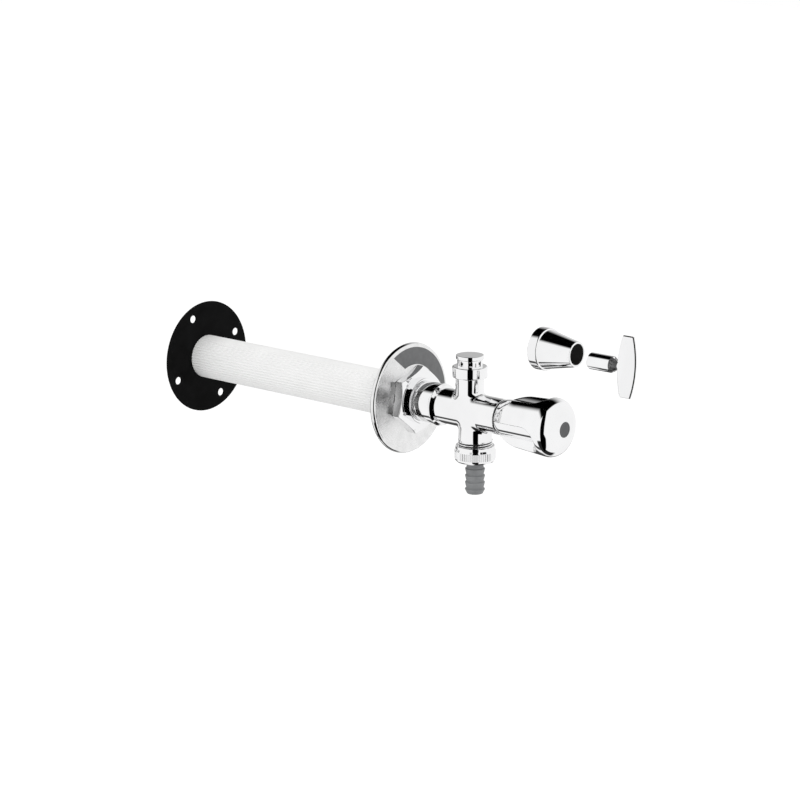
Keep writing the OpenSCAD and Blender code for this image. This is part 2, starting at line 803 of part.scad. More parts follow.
// Centre points of the check spring, from the cage's hub up to the poppet
spring_ring_steps = 10;
spring_sides = 6;
spring_low = z_cage_floor + spring_wire / 2 + end_gap;
spring_high = z_poppet_under - spring_wire / 2 - end_gap;
spring_path = [for (i = [0:spring_turns * spring_ring_steps])
    let (t = i / (spring_turns * spring_ring_steps), a = 360 * spring_turns * t)
    [spring_d / 2 * cos(a), spring_d / 2 * sin(a), spring_low + (spring_high - spring_low) * t]];
spring_points = [for (i = [0:len(spring_path) - 1], k = [0:spring_sides - 1])
    let (a = atan2(spring_path[i][1], spring_path[i][0]), b = 360 / spring_sides * k, w = spring_wire / 2)
    spring_path[i] + w * [cos(b) * cos(a), cos(b) * sin(a), sin(b)]];
spring_skin = [for (i = [0:len(spring_path) - 2], k = [0:spring_sides - 1])
    let (p = i * spring_sides, q = p + spring_sides, n = (k + 1) % spring_sides)
    each [[p + k, q + k, q + n], [p + k, q + n, p + n]]];
spring_last = len(spring_points) - spring_sides;
spring_ends = [
    for (k = [1:spring_sides - 2]) [0, k, k + 1],
    for (k = [1:spring_sides - 2]) [spring_last, spring_last + k + 1, spring_last + k]];
spring_gap = (spring_high - spring_low) / spring_turns - spring_wire;

module check_spring() {
    echo(check_spring_least_gap = spring_gap);
    color("#b0b0b0")
        on_outlet()
            polyhedron(spring_points, concat(spring_skin, spring_ends));
}

module hose_washer() {
    overlap = 1.5;
    color("#202020")
        on_outlet(z_tail_top)
            difference() {
                cylinder(d = hose_thread_d, h = hose_washer_t);
                translate([0, 0, -eps])
                    cylinder(d = cage_d - 2 * overlap, h = hose_washer_t + 2 * eps);
            }
}

// The plastic hose tail: a flange under the washer, a neck through the nut and a row of barbs
module hose_tail() {
    tip_taper = 0.5;
    flange_play = 0.6;
    flange_r = hose_thread_d / 2 - flange_play;
    neck_show = 1;
    slope = 0.6;
    half_land = 0.3;
    valley_r = barb_valley_d / 2;
    color("#7d7f80")
        on_outlet()
            rotate_extrude()
                polygon(concat(
                    [[tail_bore_d / 2, z_tail_end], [tail_bore_d / 2, z_tail_top],
                     [flange_r, z_tail_top], [flange_r, z_tail_flange],
                     [tail_neck_d / 2, z_tail_flange], [tail_neck_d / 2, z_union_end - neck_show],
                     [valley_r, z_union_end - neck_show - slope]],
                    [for (i = [0:barb_count - 1])
                        let (z = z_barb - barb_pitch * i)
                        each [[valley_r, z + half_land + slope], [barb_d / 2, z + half_land],
                              [barb_d / 2, z - half_land]]],
                    [[valley_r - tip_taper, z_tail_end]]));
}

// The union nut turns on the hose thread and draws the flange of the hose tail up
module union_nut() {
    foot_edge = 1.2;
    bead = 0.4;
    bead_slope = 1.6;
    step = 0.1;
    lip_play = 0.3;
    root_r = union_d / 2 - knurl_depth - step;
    foot_r = root_r - step;
    color("#d4d4d4")
        on_outlet()
            difference() {
                union() {
                    rotate_extrude()
                        polygon([[0, z_union_end], [foot_r - foot_edge, z_union_end],
                                 [foot_r, z_union_end + foot_edge], [foot_r, z_knurl],
                                 [union_d / 2, z_knurl], [union_d / 2, z_knurl + bead],
                                 [union_top_d / 2, z_knurl + bead + bead_slope],
                                 [union_top_d / 2, z_union_top], [0, z_union_top]]);
                    translate([0, 0, z_knurl_end])
                        linear_extrude(knurl_h)
                            polygon(ribbed(knurl_count, root_r + knurl_depth, root_r));
                }
                translate([0, 0, z_tail_flange])
                    cylinder(d = hose_thread_d + 2 * thread_fit, h = z_union_top - z_tail_flange + eps);
                translate([0, 0, z_union_end - eps])
                    cylinder(d = tail_neck_d + 2 * lip_play, h = union_lip + 2 * eps);
            }
}

// The tool that cuts one finger flute: a round bar with a round end
module flute_tool() {
    along(s_knob - eps)
        translate([0, flute_axis, 0])
            rotate_extrude()
                polygon(concat(
                    [[0, 0], [flute_r, 0]],
                    arc(0, s_flute_round - s_knob + eps, flute_r, 0, 90)));
}

// A plated knob with a swelling shoulder, a tapered side with finger flutes and a domed face
module knob() {
    rear_r = knob_rear_d / 2;
    shoulder_rise = knob_shoulder_d / 2 - rear_r;
    hollow_past = 4;
    hollow_step = 2;
    hollow_end = s_square_end + hollow_past;
    color("#dcdcdc")
        difference() {
            turned(concat(
                [[0, s_knob]],
                [for (i = [0:arc_steps])
                    let (t = i / arc_steps)
                    [rear_r + shoulder_rise * sin(90 * t), s_knob + knob_shoulder_len * t]],
                arc(edge_centre_r, s_rim, knob_edge_r, 0, dome_angle),
                arc(0, dome_centre_s, dome_r, dome_angle, 90)));
            for (i = [0:flute_count - 1])
                rotate([0, 360 / flute_count * i, 0])
                    flute_tool();
            turned([[0, s_knob - eps], [knob_rear_hollow, s_knob - eps], [knob_rear_hollow, s_hub_rear],
                    [knob_hollow_r, s_hub_rear + hollow_step], [knob_hollow_r, hollow_end],
                    [knob_hub_d / 2, hollow_end], [knob_hub_d / 2, s_hub_rear], [0, s_hub_rear]]);
            along(s_hub_rear - eps)
                translate([-square_w / 2 - run_fit, -square_w / 2 - run_fit, 0])
                    cube([square_w + 2 * run_fit, square_w + 2 * run_fit,
                          s_square_end + end_gap - s_hub_rear + eps]);
            rod(screw_d + 2 * screw_play, s_square_end, s_screw_seat + eps);
            rod(head_hole_d, s_screw_seat, s_apex);
            rod(plug_d + 2 * fixed_fit, s_apex - plug_t, s_apex + eps);
        }
}

module knob_screw() {
    drive_share = 0.45;
    color("#a8a8a8")
        difference() {
            union() {
                rod(screw_d, s_screw_seat - screw_len, s_screw_seat + eps);
                rod(screw_head_d, s_screw_seat, s_screw_seat + screw_head_h);
            }
            along(s_screw_seat + screw_head_h / 2)
                cylinder(d = screw_head_d * drive_share, h = screw_head_h, $fn = 6);
        }
}

module index_plug() {
    stem_d = head_hole_d - 2 * fixed_fit;
    stem_len = 5;
    crown = 0.3;
    color("#5c5f61")
        turned([[0, s_apex - plug_t - stem_len], [stem_d / 2, s_apex - plug_t - stem_len],
                [stem_d / 2, s_apex - plug_t], [plug_d / 2, s_apex - plug_t],
                [plug_d / 2, s_apex - crown], [plug_d / 2 - crown, s_apex], [0, s_apex]]);
}

// The short spindle in the gland: a tail that takes the rod, a thrust collar, ring grooves and a square
module spindle() {
    tap_d = screw_d + 2 * fixed_fit;
    color("#c9a646")
        difference() {
            union() {
                rod(tail_d, s_spindle, s_tail_end);
                rod(spindle_d, s_tail_end - eps, s_square);
                rod(thrust_d, s_thrust_end - thrust_w, s_thrust_end);
                along(s_square - eps)
                    translate([-square_w / 2, -square_w / 2, 0])
                        cube([square_w, square_w, square_len + eps]);
            }
            rod(rod_d + 2 * fixed_fit, s_spindle - eps, s_rod_end);
            translate([0, -s_pin, -tail_d])
                cylinder(d = pin_d + 2 * fixed_fit, h = 2 * tail_d);
            rod(tap_d, s_screw_seat - screw_len - end_gap, s_square_end + eps);
            for (s = spindle_ring_places)
                difference() {
                    rod(spindle_d + eps, s - ring_groove_w / 2, s + ring_groove_w / 2);
                    rod(ring_groove_d, s - ring_groove_w, s + ring_groove_w);
                }
            difference() {
                rod(spindle_d + eps, s_clip, s_clip + clip_t);
                rod(clip_groove_d, s_clip - eps, s_clip + clip_t + eps);
            }
        }
}

// The two grooves and their sealing rings
ring_shares = [0.3, 0.6];
ring_side_play = 0.4;
ring_under_play = 0.1;
spindle_ring_places = [for (share = ring_shares) s_gland + gland_len * share];
ring_groove_w = ring_section + 2 * ring_side_play;
ring_groove_d = spindle_d - 2 * (ring_section + ring_under_play);

module spindle_rings() {
    color("#202020")
        for (s = spindle_ring_places)
            along(s)
                rotate_extrude()
                    translate([spindle_d / 2 - ring_section / 2, 0])
                        circle(d = ring_section);
}

module spindle_clip() {
    gap_share = 0.6;
    gap_w = clip_groove_d * gap_share;
    color("#8a8a8a")
        along(s_clip)
            difference() {
                cylinder(d = clip_d, h = clip_t);
                translate([0, 0, -eps])
                    cylinder(d = clip_groove_d + 2 * fixed_fit, h = clip_t + 2 * eps);
                translate([-gap_w / 2, -clip_d, -eps])
                    cube([gap_w, clip_d, clip_t + 2 * eps]);
            }
}

module operating_rod() {
    color("#c9a646")
        difference() {
            union() {
                rod(rod_d, s_rod_shoulder, s_rod_end);
                rod(rod_thread_d, s_rod_tip, s_rod_shoulder + eps);
            }
            translate([0, -s_pin, -rod_d])
                cylinder(d = pin_d + 2 * fixed_fit, h = 2 * rod_d);
        }
}

module rod_pin() {
    pin_short = 0.3;
    pin_len = tail_d - 2 * pin_short;
    color("#a8a8a8")
        translate([0, -s_pin, -pin_len / 2])
            cylinder(d = pin_d, h = pin_len);
}

// A hexagonal plunger on the rod's thread: its flats keep it from turning, so it slides
module valve_plunger() {
    corner_show = 0.5;
    color("#c9a646")
        difference() {
            intersection() {
                along(s_plunger)
                    cylinder(d = plunger_af / cos(30), h = plunger_len, $fn = 6);
                rod(plunger_af + 2 * corner_show, s_plunger, s_plunger_end);
            }
            rod(rod_thread_d + 2 * run_fit, s_plunger_end - plunger_hole, s_plunger_end + eps);
            rod(washer_screw_d + 2 * fixed_fit, s_plunger - eps, s_plunger + washer_screw_len + end_gap);
        }
}

module seat_washer() {
    color("#202020")
        difference() {
            rod(washer_d, s_seat, s_plunger);
            rod(washer_screw_d + 2 * fixed_fit, s_seat - eps, s_plunger + eps);
        }
}

module washer_screw() {
    slot_w = 0.8;
    color("#c9a646")
        difference() {
            union() {
                rod(washer_screw_d, s_seat - eps, s_plunger + washer_screw_len);
                rod(washer_screw_head_d, s_seat - washer_screw_head_h, s_seat);
            }
            along(s_seat - washer_screw_head_h - eps)
                translate([-washer_screw_head_d, -slot_w / 2, 0])
                    cube([2 * washer_screw_head_d, slot_w, washer_screw_head_h / 2 + eps]);
        }
}

// A hollow cone that goes over the end of the barrel in place of the knob, and hides the spindle
module lock_cone() {
    socket_r = barrel_d / 2 + 2 * thread_fit;
    collar_r = socket_r + cone_collar_wall;
    inside_r = cone_d / 2 - cone_wall;
    s_lip = s_cone_end - cone_lip;
    edge = 0.8;
    color("#d0d0d0")
        on_cone()
            turned([[socket_r, s_cone], [collar_r - edge, s_cone],
                    [collar_r, s_cone + edge], [collar_r, s_cone_collar - edge],
                    [collar_r - edge, s_cone_collar], [cone_d / 2, s_cone_collar],
                    [cone_front_d / 2, s_cone_end], [cone_bore_d / 2, s_cone_end],
                    [cone_bore_d / 2, s_lip], [inside_r, s_cone_collar],
                    [inside_r, s_cone + cone_socket], [socket_r, s_cone + cone_socket]]);
}

module on_key() {
    on_cone()
        translate([0, 0, -key_drop])
            rotate([0, key_turn, 0])
                children();
}

// The key's shank has a square socket for the spindle and a slot for the wing
module key_shank() {
    edge = 0.6;
    taper_in = 3.4;
    taper_r = key_d / 2 - taper_in;
    socket_w = square_w + 4 * run_fit;
    slot_w = wing_t + 2 * fixed_fit;
    color("#cccccc")
        on_key()
            difference() {
                turned([[0, s_key], [key_d / 2 - edge, s_key], [key_d / 2, s_key + edge],
                        [key_d / 2, s_key_end - key_taper], [taper_r, s_key_end], [0, s_key_end]]);
                along(s_key - eps)
                    translate([-socket_w / 2, -socket_w / 2, 0])
                        cube([socket_w, socket_w, key_socket + eps]);
                along(s_slot)
                    translate([-slot_w / 2, -key_d, 0])
                        cube([slot_w, 2 * key_d, key_slot + eps]);
            }
}

// A flat barrel-shaped wing with a tang that is pressed into the shank's slot
module key_wing() {
    bulge = (wing_w - wing_end_w) / 2;
    side_r = (pow(wing_h / 2, 2) + pow(bulge, 2)) / (2 * bulge);
    side_angle = asin(wing_h / 2 / side_r);
    tang_share = 0.4;
    tang_w = key_d * tang_share;
    tang_angle = asin(tang_w / 2 / side_r);
    rear_y = -s_wing + wing_w / 2 - side_r;
    front_y = -s_wing - wing_w / 2 + side_r;
    color("#e2e2e2")
        on_key()
            rotate([0, -90, 0])
                translate([0, 0, -wing_t / 2])
                    linear_extrude(wing_t)
                        polygon(concat(
                            arc_side(rear_y, side_r, -side_angle, -tang_angle),
                            [[-tang_w / 2, -s_slot], [tang_w / 2, -s_slot]],
                            arc_side(rear_y, side_r, tang_angle, side_angle),
                            arc_side(front_y, -side_r, side_angle, -side_angle)));
}

// One curved side of the wing: x is its height, y its place along the tap's axis
function arc_side(y, r, from, to) =
    [for (i = [0:arc_steps])
        let (a = from + (to - from) * i / arc_steps)
        [abs(r) * sin(a), y + r * cos(a)]];

wall_plate();
wall_sleeve();
rosette();
lock_nut();
valve_body();
inner_pipe();
seat_housing();
gland();
gland_washer();
aerator_cap();
aerator_seal();
check_cage();
knob();
knob_screw();
index_plug();
spindle();
spindle_clip();
spindle_rings();
operating_rod();
rod_pin();
valve_plunger();
seat_washer();
washer_screw();
aerator_float();
check_poppet();
check_seal();
check_spring();
hose_tail();
hose_washer();
union_nut();
lock_cone();
key_shank();
key_wing();
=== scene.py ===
import math

import bmesh
import bpy
import numpy as np
from mathutils import Matrix, Vector


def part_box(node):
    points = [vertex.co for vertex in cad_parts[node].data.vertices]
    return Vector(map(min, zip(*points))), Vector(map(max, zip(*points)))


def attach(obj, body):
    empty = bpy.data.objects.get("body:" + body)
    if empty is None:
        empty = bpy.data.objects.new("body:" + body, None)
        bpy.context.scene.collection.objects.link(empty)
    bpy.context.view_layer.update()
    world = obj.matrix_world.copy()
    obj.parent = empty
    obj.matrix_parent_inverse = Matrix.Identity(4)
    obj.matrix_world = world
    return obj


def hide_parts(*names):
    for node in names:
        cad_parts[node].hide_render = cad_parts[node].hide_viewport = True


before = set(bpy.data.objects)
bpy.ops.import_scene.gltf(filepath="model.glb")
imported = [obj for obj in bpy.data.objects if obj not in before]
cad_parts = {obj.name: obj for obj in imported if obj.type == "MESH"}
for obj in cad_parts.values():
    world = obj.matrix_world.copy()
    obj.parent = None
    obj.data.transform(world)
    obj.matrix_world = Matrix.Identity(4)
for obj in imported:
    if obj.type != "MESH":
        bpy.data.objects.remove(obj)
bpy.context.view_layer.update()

# Camera. It stands in front of the wall, well to the left of the tap and a little above it,
# and looks along the sleeve with a long lens, so that the plate and the knob are nearly in scale.
camera_place = Vector((-1.5226, -1.3319, 0.4906))
camera_turn = -48.674
camera_tilt = 13.692
lens = bpy.data.cameras.new("camera")
lens.lens = 121.26
lens.sensor_width = 36
lens.clip_end = 20
camera = bpy.data.objects.new("camera", lens)
camera.location = camera_place
camera.rotation_euler = (math.radians(90 - camera_tilt), 0, math.radians(camera_turn))
bpy.context.scene.collection.objects.link(camera)
bpy.context.scene.camera = camera


# Wall sleeve. An extruded tube of white plastic that lines the hole through the wall,
# with fine ribs along its whole length so that it keys into the mortar.
MM = 0.001
tap_axis = Matrix.Scale(MM, 4) @ Matrix.Rotation(math.radians(90), 4, "X")


def span(node):
    """Lowest and highest corner of a node, in millimetres."""
    return [np.array(corner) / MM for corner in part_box(node)]


def turned(outline, turns, swell=None):
    """Points and quads of a turned piece: the outline, a closed loop of (radius, height), goes round.
    turns are the angles of its rows, and swell(radius, height, turn) gives other radii."""
    outline = np.array([corner[:2] for corner in outline], float)
    shape = (len(outline), len(turns))
    radius, height = (np.broadcast_to(outline[:, i:i + 1], shape) for i in range(2))
    turn = np.broadcast_to(turns, shape)
    if swell:
        radius = swell(radius, height, turn)
    points = np.stack([radius * np.cos(turn), radius * np.sin(turn), height], -1)
    here = np.arange(radius.size).reshape(shape)
    above = np.roll(here, -1, 0)
    quads = np.stack([here, np.roll(here, -1, 1), np.roll(above, -1, 1), above], -1)
    return points.reshape(-1, 3), quads.reshape(-1, 4)


def even_turns(steps):
    return np.arange(steps) * 2 * math.pi / steps


def make(name, points, faces, place, sharp=30):
    """A smooth closed piece from points in its own axes; edges steeper than sharp degrees stay crisp."""
    shift = np.array(place)
    points = np.asarray(points) @ shift[:3, :3].T + shift[:3, 3]
    mesh = bpy.data.meshes.new(name)
    mesh.from_pydata(points.tolist(), [], [list(face) for face in faces])
    tidy = bmesh.new()
    tidy.from_mesh(mesh)
    bmesh.ops.remove_doubles(tidy, verts=tidy.verts, dist=1e-7)
    loose = [edge for edge in tidy.edges if not edge.link_faces]
    bmesh.ops.delete(tidy, geom=loose, context="EDGES")
    bmesh.ops.recalc_face_normals(tidy, faces=tidy.faces)
    tidy.to_mesh(mesh)
    tidy.free()
    mesh.shade_smooth()
    mesh.set_sharp_from_angle(angle=math.radians(sharp))
    piece = bpy.data.objects.new(name, mesh)
    bpy.context.scene.collection.objects.link(piece)
    return piece


def fit(piece, finish, body, slot, *nodes):
    """The piece gets its finish, rides on its body and stands for its nodes."""
    piece.data.materials.clear()
    piece.data.materials.append(finish)
    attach(piece, body)
    if nodes:
        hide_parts(*nodes)
    return piece


def add_node(tree, kind, inputs=None, **settings):
    """A shader node; an input is a plain value or another node's output."""
    made = tree.nodes.new("ShaderNode" + kind)
    for key, value in settings.items():
        setattr(made, key, value)
    for key, value in (inputs or {}).items():
        if isinstance(value, bpy.types.NodeSocket):
            tree.links.new(value, made.inputs[key])
        else:
            made.inputs[key].default_value = value
    return made


def surface(name, dark, pale, patch, rough, grain, depth, **sockets):
    """A finish whose colour wanders from dark to pale and whose roughness from rough[0] to rough[1], in
    patches of that size, over a grain of that size and depth. Sizes are in millimetres."""
    made = bpy.data.materials.new(name)
    made.use_nodes = True
    tree = made.node_tree
    shader = tree.nodes["Principled BSDF"]
    for key, value in sockets.items():
        shader.inputs[key.replace("_", " ")].default_value = value
    place = add_node(tree, "TexCoord").outputs["Object"]
    cloud = add_node(tree, "TexNoise", {"Vector": place, "Scale": 1 / (patch * MM), "Detail": 4})
    ramp = add_node(tree, "ValToRGB", {"Fac": cloud.outputs["Fac"]})
    ramp.color_ramp.elements[0].position = 0.3
    ramp.color_ramp.elements[0].color = (*dark, 1)
    ramp.color_ramp.elements[1].position = 0.7
    ramp.color_ramp.elements[1].color = (*pale, 1)
    tree.links.new(ramp.outputs["Color"], shader.inputs["Base Color"])
    wander = add_node(tree, "MapRange", {"Value": cloud.outputs["Fac"], "From Min": 0.3, "From Max": 0.7,
                                         "To Min": rough[0], "To Max": rough[1]})
    tree.links.new(wander.outputs["Result"], shader.inputs["Roughness"])
    fine = add_node(tree, "TexNoise", {"Vector": place, "Scale": 1 / (grain * MM), "Detail": 3})
    bump = add_node(tree, "Bump", {"Height": fine.outputs["Fac"], "Distance": depth * MM})
    tree.links.new(bump.outputs["Normal"], shader.inputs["Normal"])
    return made


sleeve_low, sleeve_high = span("wall_sleeve")
sleeve_front = -sleeve_low[1]
sleeve_back = -sleeve_high[1]
sleeve_r = sleeve_high[0]
sleeve_wall = 1.4
rib_count = 48
rib_height = 0.6
rib_points = 10
white_plastic = surface("white_ribbed_plastic", (0.86, 0.86, 0.855), (0.90, 0.90, 0.895), 30, (0.42, 0.52),
                        0.4, 0.004)


def ribs(radius, height, turn):
    wave = np.clip(1.6 * np.cos(rib_count * turn), -1, 1)
    return np.where(radius > sleeve_r - rib_height, radius - rib_height * (1 - wave) / 2, radius)


sleeve_outline = [(sleeve_r - sleeve_wall, sleeve_back), (sleeve_r, sleeve_back), (sleeve_r, sleeve_front),
                  (sleeve_r - sleeve_wall, sleeve_front)]
sleeve_turns = even_turns(rib_count * rib_points)
sleeve = make("wall_sleeve_tube", *turned(sleeve_outline, sleeve_turns, ribs), tap_axis, sharp=60)
fit(sleeve, white_plastic, "wall_valve", "white_plastic", "wall_sleeve")


# Wall plate. A round moulding of black plastic that is screwed to the inner face of the wall;
# the hub behind it takes the end of the sleeve. Its face is matt, with four plain screw holes.
def rounded(corners, guard=0.08):
    """A closed outline with round corners: each corner is (radius, height) or (radius, height, rounding)."""
    path = []
    for i, corner in enumerate(corners):
        here = np.array(corner[:2], float)
        if len(corner) < 3:
            path.append(here)
            continue
        to_last, to_next = (np.array(corners[k % len(corners)][:2]) - here for k in (i - 1, i + 1))
        to_last, to_next = to_last / np.linalg.norm(to_last), to_next / np.linalg.norm(to_next)
        half = math.acos(np.clip(to_last @ to_next, -1, 1)) / 2
        reach = corner[2] / math.tan(half)
        middle = to_last + to_next
        centre = here + middle / np.linalg.norm(middle) * corner[2] / math.sin(half)
        first, last = (math.atan2(*(here + way * reach - centre)[::-1]) for way in (to_last, to_next))
        sweep = (last - first + math.pi) % (2 * math.pi) - math.pi
        steps = max(4, round(abs(math.degrees(sweep)) / 8))
        bend = first + sweep * np.arange(steps + 1) / steps
        path.append(here + to_last * (reach + guard))
        path.extend(centre + corner[2] * np.stack([np.cos(bend), np.sin(bend)], -1))
        path.append(here + to_next * (reach + guard))
    return path


def cut(piece, tools, sharp=30):
    """Takes the tools, closed meshes, out of the piece."""
    for tool in tools:
        taken = piece.modifiers.new("cut", "BOOLEAN")
        taken.operation = "DIFFERENCE"
        taken.solver = "EXACT"
        taken.object = tool
    bpy.context.view_layer.update()
    shown = piece.evaluated_get(bpy.context.evaluated_depsgraph_get())
    mesh = bpy.data.meshes.new_from_object(shown)
    piece.modifiers.clear()
    piece.data = mesh
    mesh.shade_smooth()
    mesh.set_sharp_from_angle(angle=math.radians(sharp))
    for tool in tools:
        bpy.data.objects.remove(tool)


plate_low, plate_high = span("wall_plate")
plate_r = plate_high[0]
plate_front = -plate_low[1]
hub_back = -plate_high[1]
plate_thickness = 0.8
plate_back = plate_front - plate_thickness
hub_r = sleeve_r + 3.6
hub_lip = 2.5
hub_play = 0.05
lip_r = span("seat_housing")[1][0] + hub_play
hole_circle_r = plate_r - 9.1
hole_r = 3.15
hole_count = 4
first_hole = math.radians(65.4)
black_plastic = surface("black_plate_moulding", (0.002, 0.002, 0.002), (0.006, 0.006, 0.0062), 14, (0.6, 0.7),
                        0.5, 0.012, Specular_IOR_Level=0.04)
plate = make("wall_plate_disc", *turned(rounded([
    (sleeve_r + hub_play, plate_front), (sleeve_r + hub_play, hub_back + hub_lip), (lip_r, hub_back + hub_lip),
    (lip_r, hub_back), (hub_r, hub_back, 0.8), (hub_r, plate_back, 1.5), (plate_r, plate_back, 0.2),
    (plate_r, plate_front, 0.2)]), even_turns(320)), tap_axis)
hole_tools = []
for i in range(hole_count):
    turn = first_hole + 2 * math.pi * i / hole_count
    shift = Matrix.Translation((hole_circle_r * math.sin(turn), hole_circle_r * math.cos(turn), plate_back - 1))
    drill = turned([(0, 0), (hole_r, 0), (hole_r, plate_thickness + 2), (0, plate_thickness + 2)], even_turns(48))
    hole_tools.append(make("drill", *drill, tap_axis @ shift))
cut(plate, hole_tools)
fit(plate, black_plastic, "wall_valve", "black_plastic", "wall_plate")


# Seat housing. A turned brass piece in the warm end of the sleeve: it holds the valve seat and the
# plunger's guide, and the house pipe is screwed onto the thread that sticks out behind the hub.
def thread(radius, height, turn, crest_r, pitch, depth, start, end):
    """Radii of a screw thread between two heights, cut into a plain cylinder of radius crest_r."""
    wave = 1 - np.abs(2 * ((height / pitch - turn / (2 * math.pi)) % 1) - 1)
    fade = np.clip(np.minimum(height - start, end - height) / pitch, 0, 1)
    return np.where(np.abs(radius - crest_r) < 1e-6, radius - depth * fade * np.clip(1.5 * wave - 0.25, 0, 1), radius)


def climb(radius, start, end, step):
    """A plain stretch of outline in short steps, so that a thread can be cut into it."""
    return [(radius, height) for height in np.linspace(start, end, round(abs(end - start) / step) + 1)]


housing_low, housing_high = span("seat_housing")
inlet_end = -housing_high[1]
housing_front = -housing_low[1]
housing_r = housing_high[0]
housing_back = hub_back - 3
inlet_r = 10.475
inlet_bore_r = 7.5
inlet_pitch = 1.814
inlet_depth = 1.1
seat_front = plate_front - 5.3
seat_back = seat_front - 5
seat_way_r = 4.5
guide_r = 8.2
guide_front = seat_front + 16
pipe_socket_r = 11.05
brass = surface("turned_brass", (0.56, 0.40, 0.16), (0.66, 0.49, 0.21), 8, (0.22, 0.34), 0.25, 0.003, Metallic=1.0)


def inlet_thread(radius, height, turn):
    return thread(radius, height, turn, inlet_r, inlet_pitch, inlet_depth, inlet_end, housing_back)


housing = make("seat_housing_body", *turned(
    [(inlet_bore_r, inlet_end), *climb(inlet_r, inlet_end, housing_back, 0.15), (housing_r, housing_back),
     (housing_r, housing_front), (pipe_socket_r, housing_front), (pipe_socket_r, guide_front),
     (guide_r, guide_front), (guide_r, seat_front), (seat_way_r, seat_front), (seat_way_r, seat_back),
     (inlet_bore_r, seat_back)], even_turns(160), inlet_thread), tap_axis)
fit(housing, brass, "wall_valve", "brass", "seat_housing")


# Works inside the sleeve and the body. A copper pipe carries the water out; the brass spindle, rod and
# plunger close the seat behind the wall; rubber rings, a fibre washer and steel clips and pins go with them.
copper = surface("drawn_copper", (0.55, 0.26, 0.15), (0.66, 0.36, 0.22), 12, (0.26, 0.4), 0.5, 0.003, Metallic=1.0)
steel = surface("plain_steel", (0.46, 0.46, 0.47), (0.58, 0.58, 0.59), 5, (0.25, 0.38), 0.2, 0.003, Metallic=1.0)
rubber = surface("moulded_rubber", (0.018, 0.018, 0.018), (0.035, 0.035, 0.035), 4, (0.6, 0.75), 0.3, 0.01)
fibre = surface("pressed_fibre", (0.28, 0.11, 0.07), (0.40, 0.18, 0.11), 2, (0.7, 0.85), 0.3, 0.02)
pale_plastic = surface("pale_moulding", (0.74, 0.71, 0.62), (0.80, 0.78, 0.70), 9, (0.4, 0.5), 0.4, 0.005)
inside_works = {
    copper: ["inner_pipe"],
    brass: ["gland", "spindle", "operating_rod", "valve_plunger", "washer_screw"],
    steel: ["spindle_clip", "rod_pin", "knob_screw", "check_spring"],
    rubber: ["spindle_rings", "seat_washer", "aerator_seal", "check_seal", "hose_washer"],
    fibre: ["gland_washer"],
    pale_plastic: ["aerator_float", "check_cage", "check_poppet"],
}
for finish, nodes in inside_works.items():
    for node in nodes:
        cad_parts[node].data.materials.clear()
        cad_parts[node].data.materials.append(finish)


# Rosette. A dished disc, pressed and spun from sheet and plated, that covers the hole in the wall.
# The sloping face is satin with fine spun rings, and the rolled rim is polished.
def arc(x, y, r, first, last, steps=16):
    """Points on an arc round (x, y), from one angle to another in degrees."""
    bend = np.radians(np.linspace(first, last, steps + 1))
    return list(zip(x + r * np.cos(bend), y + r * np.sin(bend)))


rosette_low, rosette_high = span("rosette")
rosette_front = -rosette_low[1]
sheet = 1.2
rim_r = 2.5
rim_x = rosette_high[0] - rim_r
rim_height = 2.0
flat_r = 23.4
flat_bend = 3.0
rosette_bore_r = 14.7
rim_foot = -math.degrees(math.asin(rim_height / rim_r))
satin_chrome = surface("satin_spun_chrome", (0.78, 0.78, 0.78), (0.90, 0.90, 0.90), 6, (0.20, 0.30), 3, 0.002,
                       Metallic=1.0)
tree = satin_chrome.node_tree
shader = tree.nodes["Principled BSDF"]
place = add_node(tree, "TexCoord").outputs["Object"]
spun = add_node(tree, "TexWave", {"Vector": place, "Scale": 260, "Distortion": 1.5, "Detail": 2},
                wave_type="RINGS", rings_direction="Y")
wander = shader.inputs["Roughness"].links[0].from_socket
off_axis = add_node(tree, "VectorMath", {0: place, 1: (1, 0, 1)}, operation="MULTIPLY")
from_axis = add_node(tree, "VectorMath", {0: off_axis.outputs[0]}, operation="LENGTH").outputs["Value"]
polished = add_node(tree, "MapRange", {"Value": from_axis, "From Min": (rim_x - 0.6) * MM,
                                       "From Max": (rim_x + 0.4) * MM, "To Min": 1, "To Max": 0.2})
tree.links.new(add_node(tree, "Math", {0: wander, 1: polished.outputs["Result"]}, operation="MULTIPLY").outputs[0],
               shader.inputs["Roughness"])
rings = add_node(tree, "Bump", {"Height": spun.outputs["Fac"], "Distance": 0.003 * MM, "Strength": 0.6,
                                "Normal": shader.inputs["Normal"].links[0].from_socket})
tree.links.new(rings.outputs["Normal"], shader.inputs["Normal"])
rosette = make("rosette_dish", *turned(
    rounded([(rosette_bore_r, rosette_front), (flat_r, rosette_front, flat_bend), (rim_x, rim_height + rim_r)])
    + arc(rim_x, rim_height, rim_r, 88, rim_foot, 24)
    + [(rim_x + rim_r * math.cos(math.radians(rim_foot)) - sheet, 0)]
    + arc(rim_x, rim_height, rim_r - sheet, 0, 90, 10)
    + [(flat_r, rosette_front - sheet), (rosette_bore_r, rosette_front - sheet)], even_turns(320)), tap_axis)
fit(rosette, satin_chrome, "wall_valve", "satin_chrome", "rosette")


# Film. A thin grey plastic foil in the shape of a sector, stuck onto the satin slope of the rosette;
# it stays a little inside the rolled rim.
film_inner_r = 26.9
film_outer_r = 40.0
film_first_inner = -21
film_first_outer = -30
film_last = 95
film_lift = 0.03
film_thickness = 0.12
film_steps = 96
face_slope = (rosette_front - rim_height - rim_r) / (flat_r - rim_x)
grey_film = surface("grey_film", (0.115, 0.117, 0.12), (0.15, 0.152, 0.155), 5, (0.38, 0.5), 0.3, 0.003)


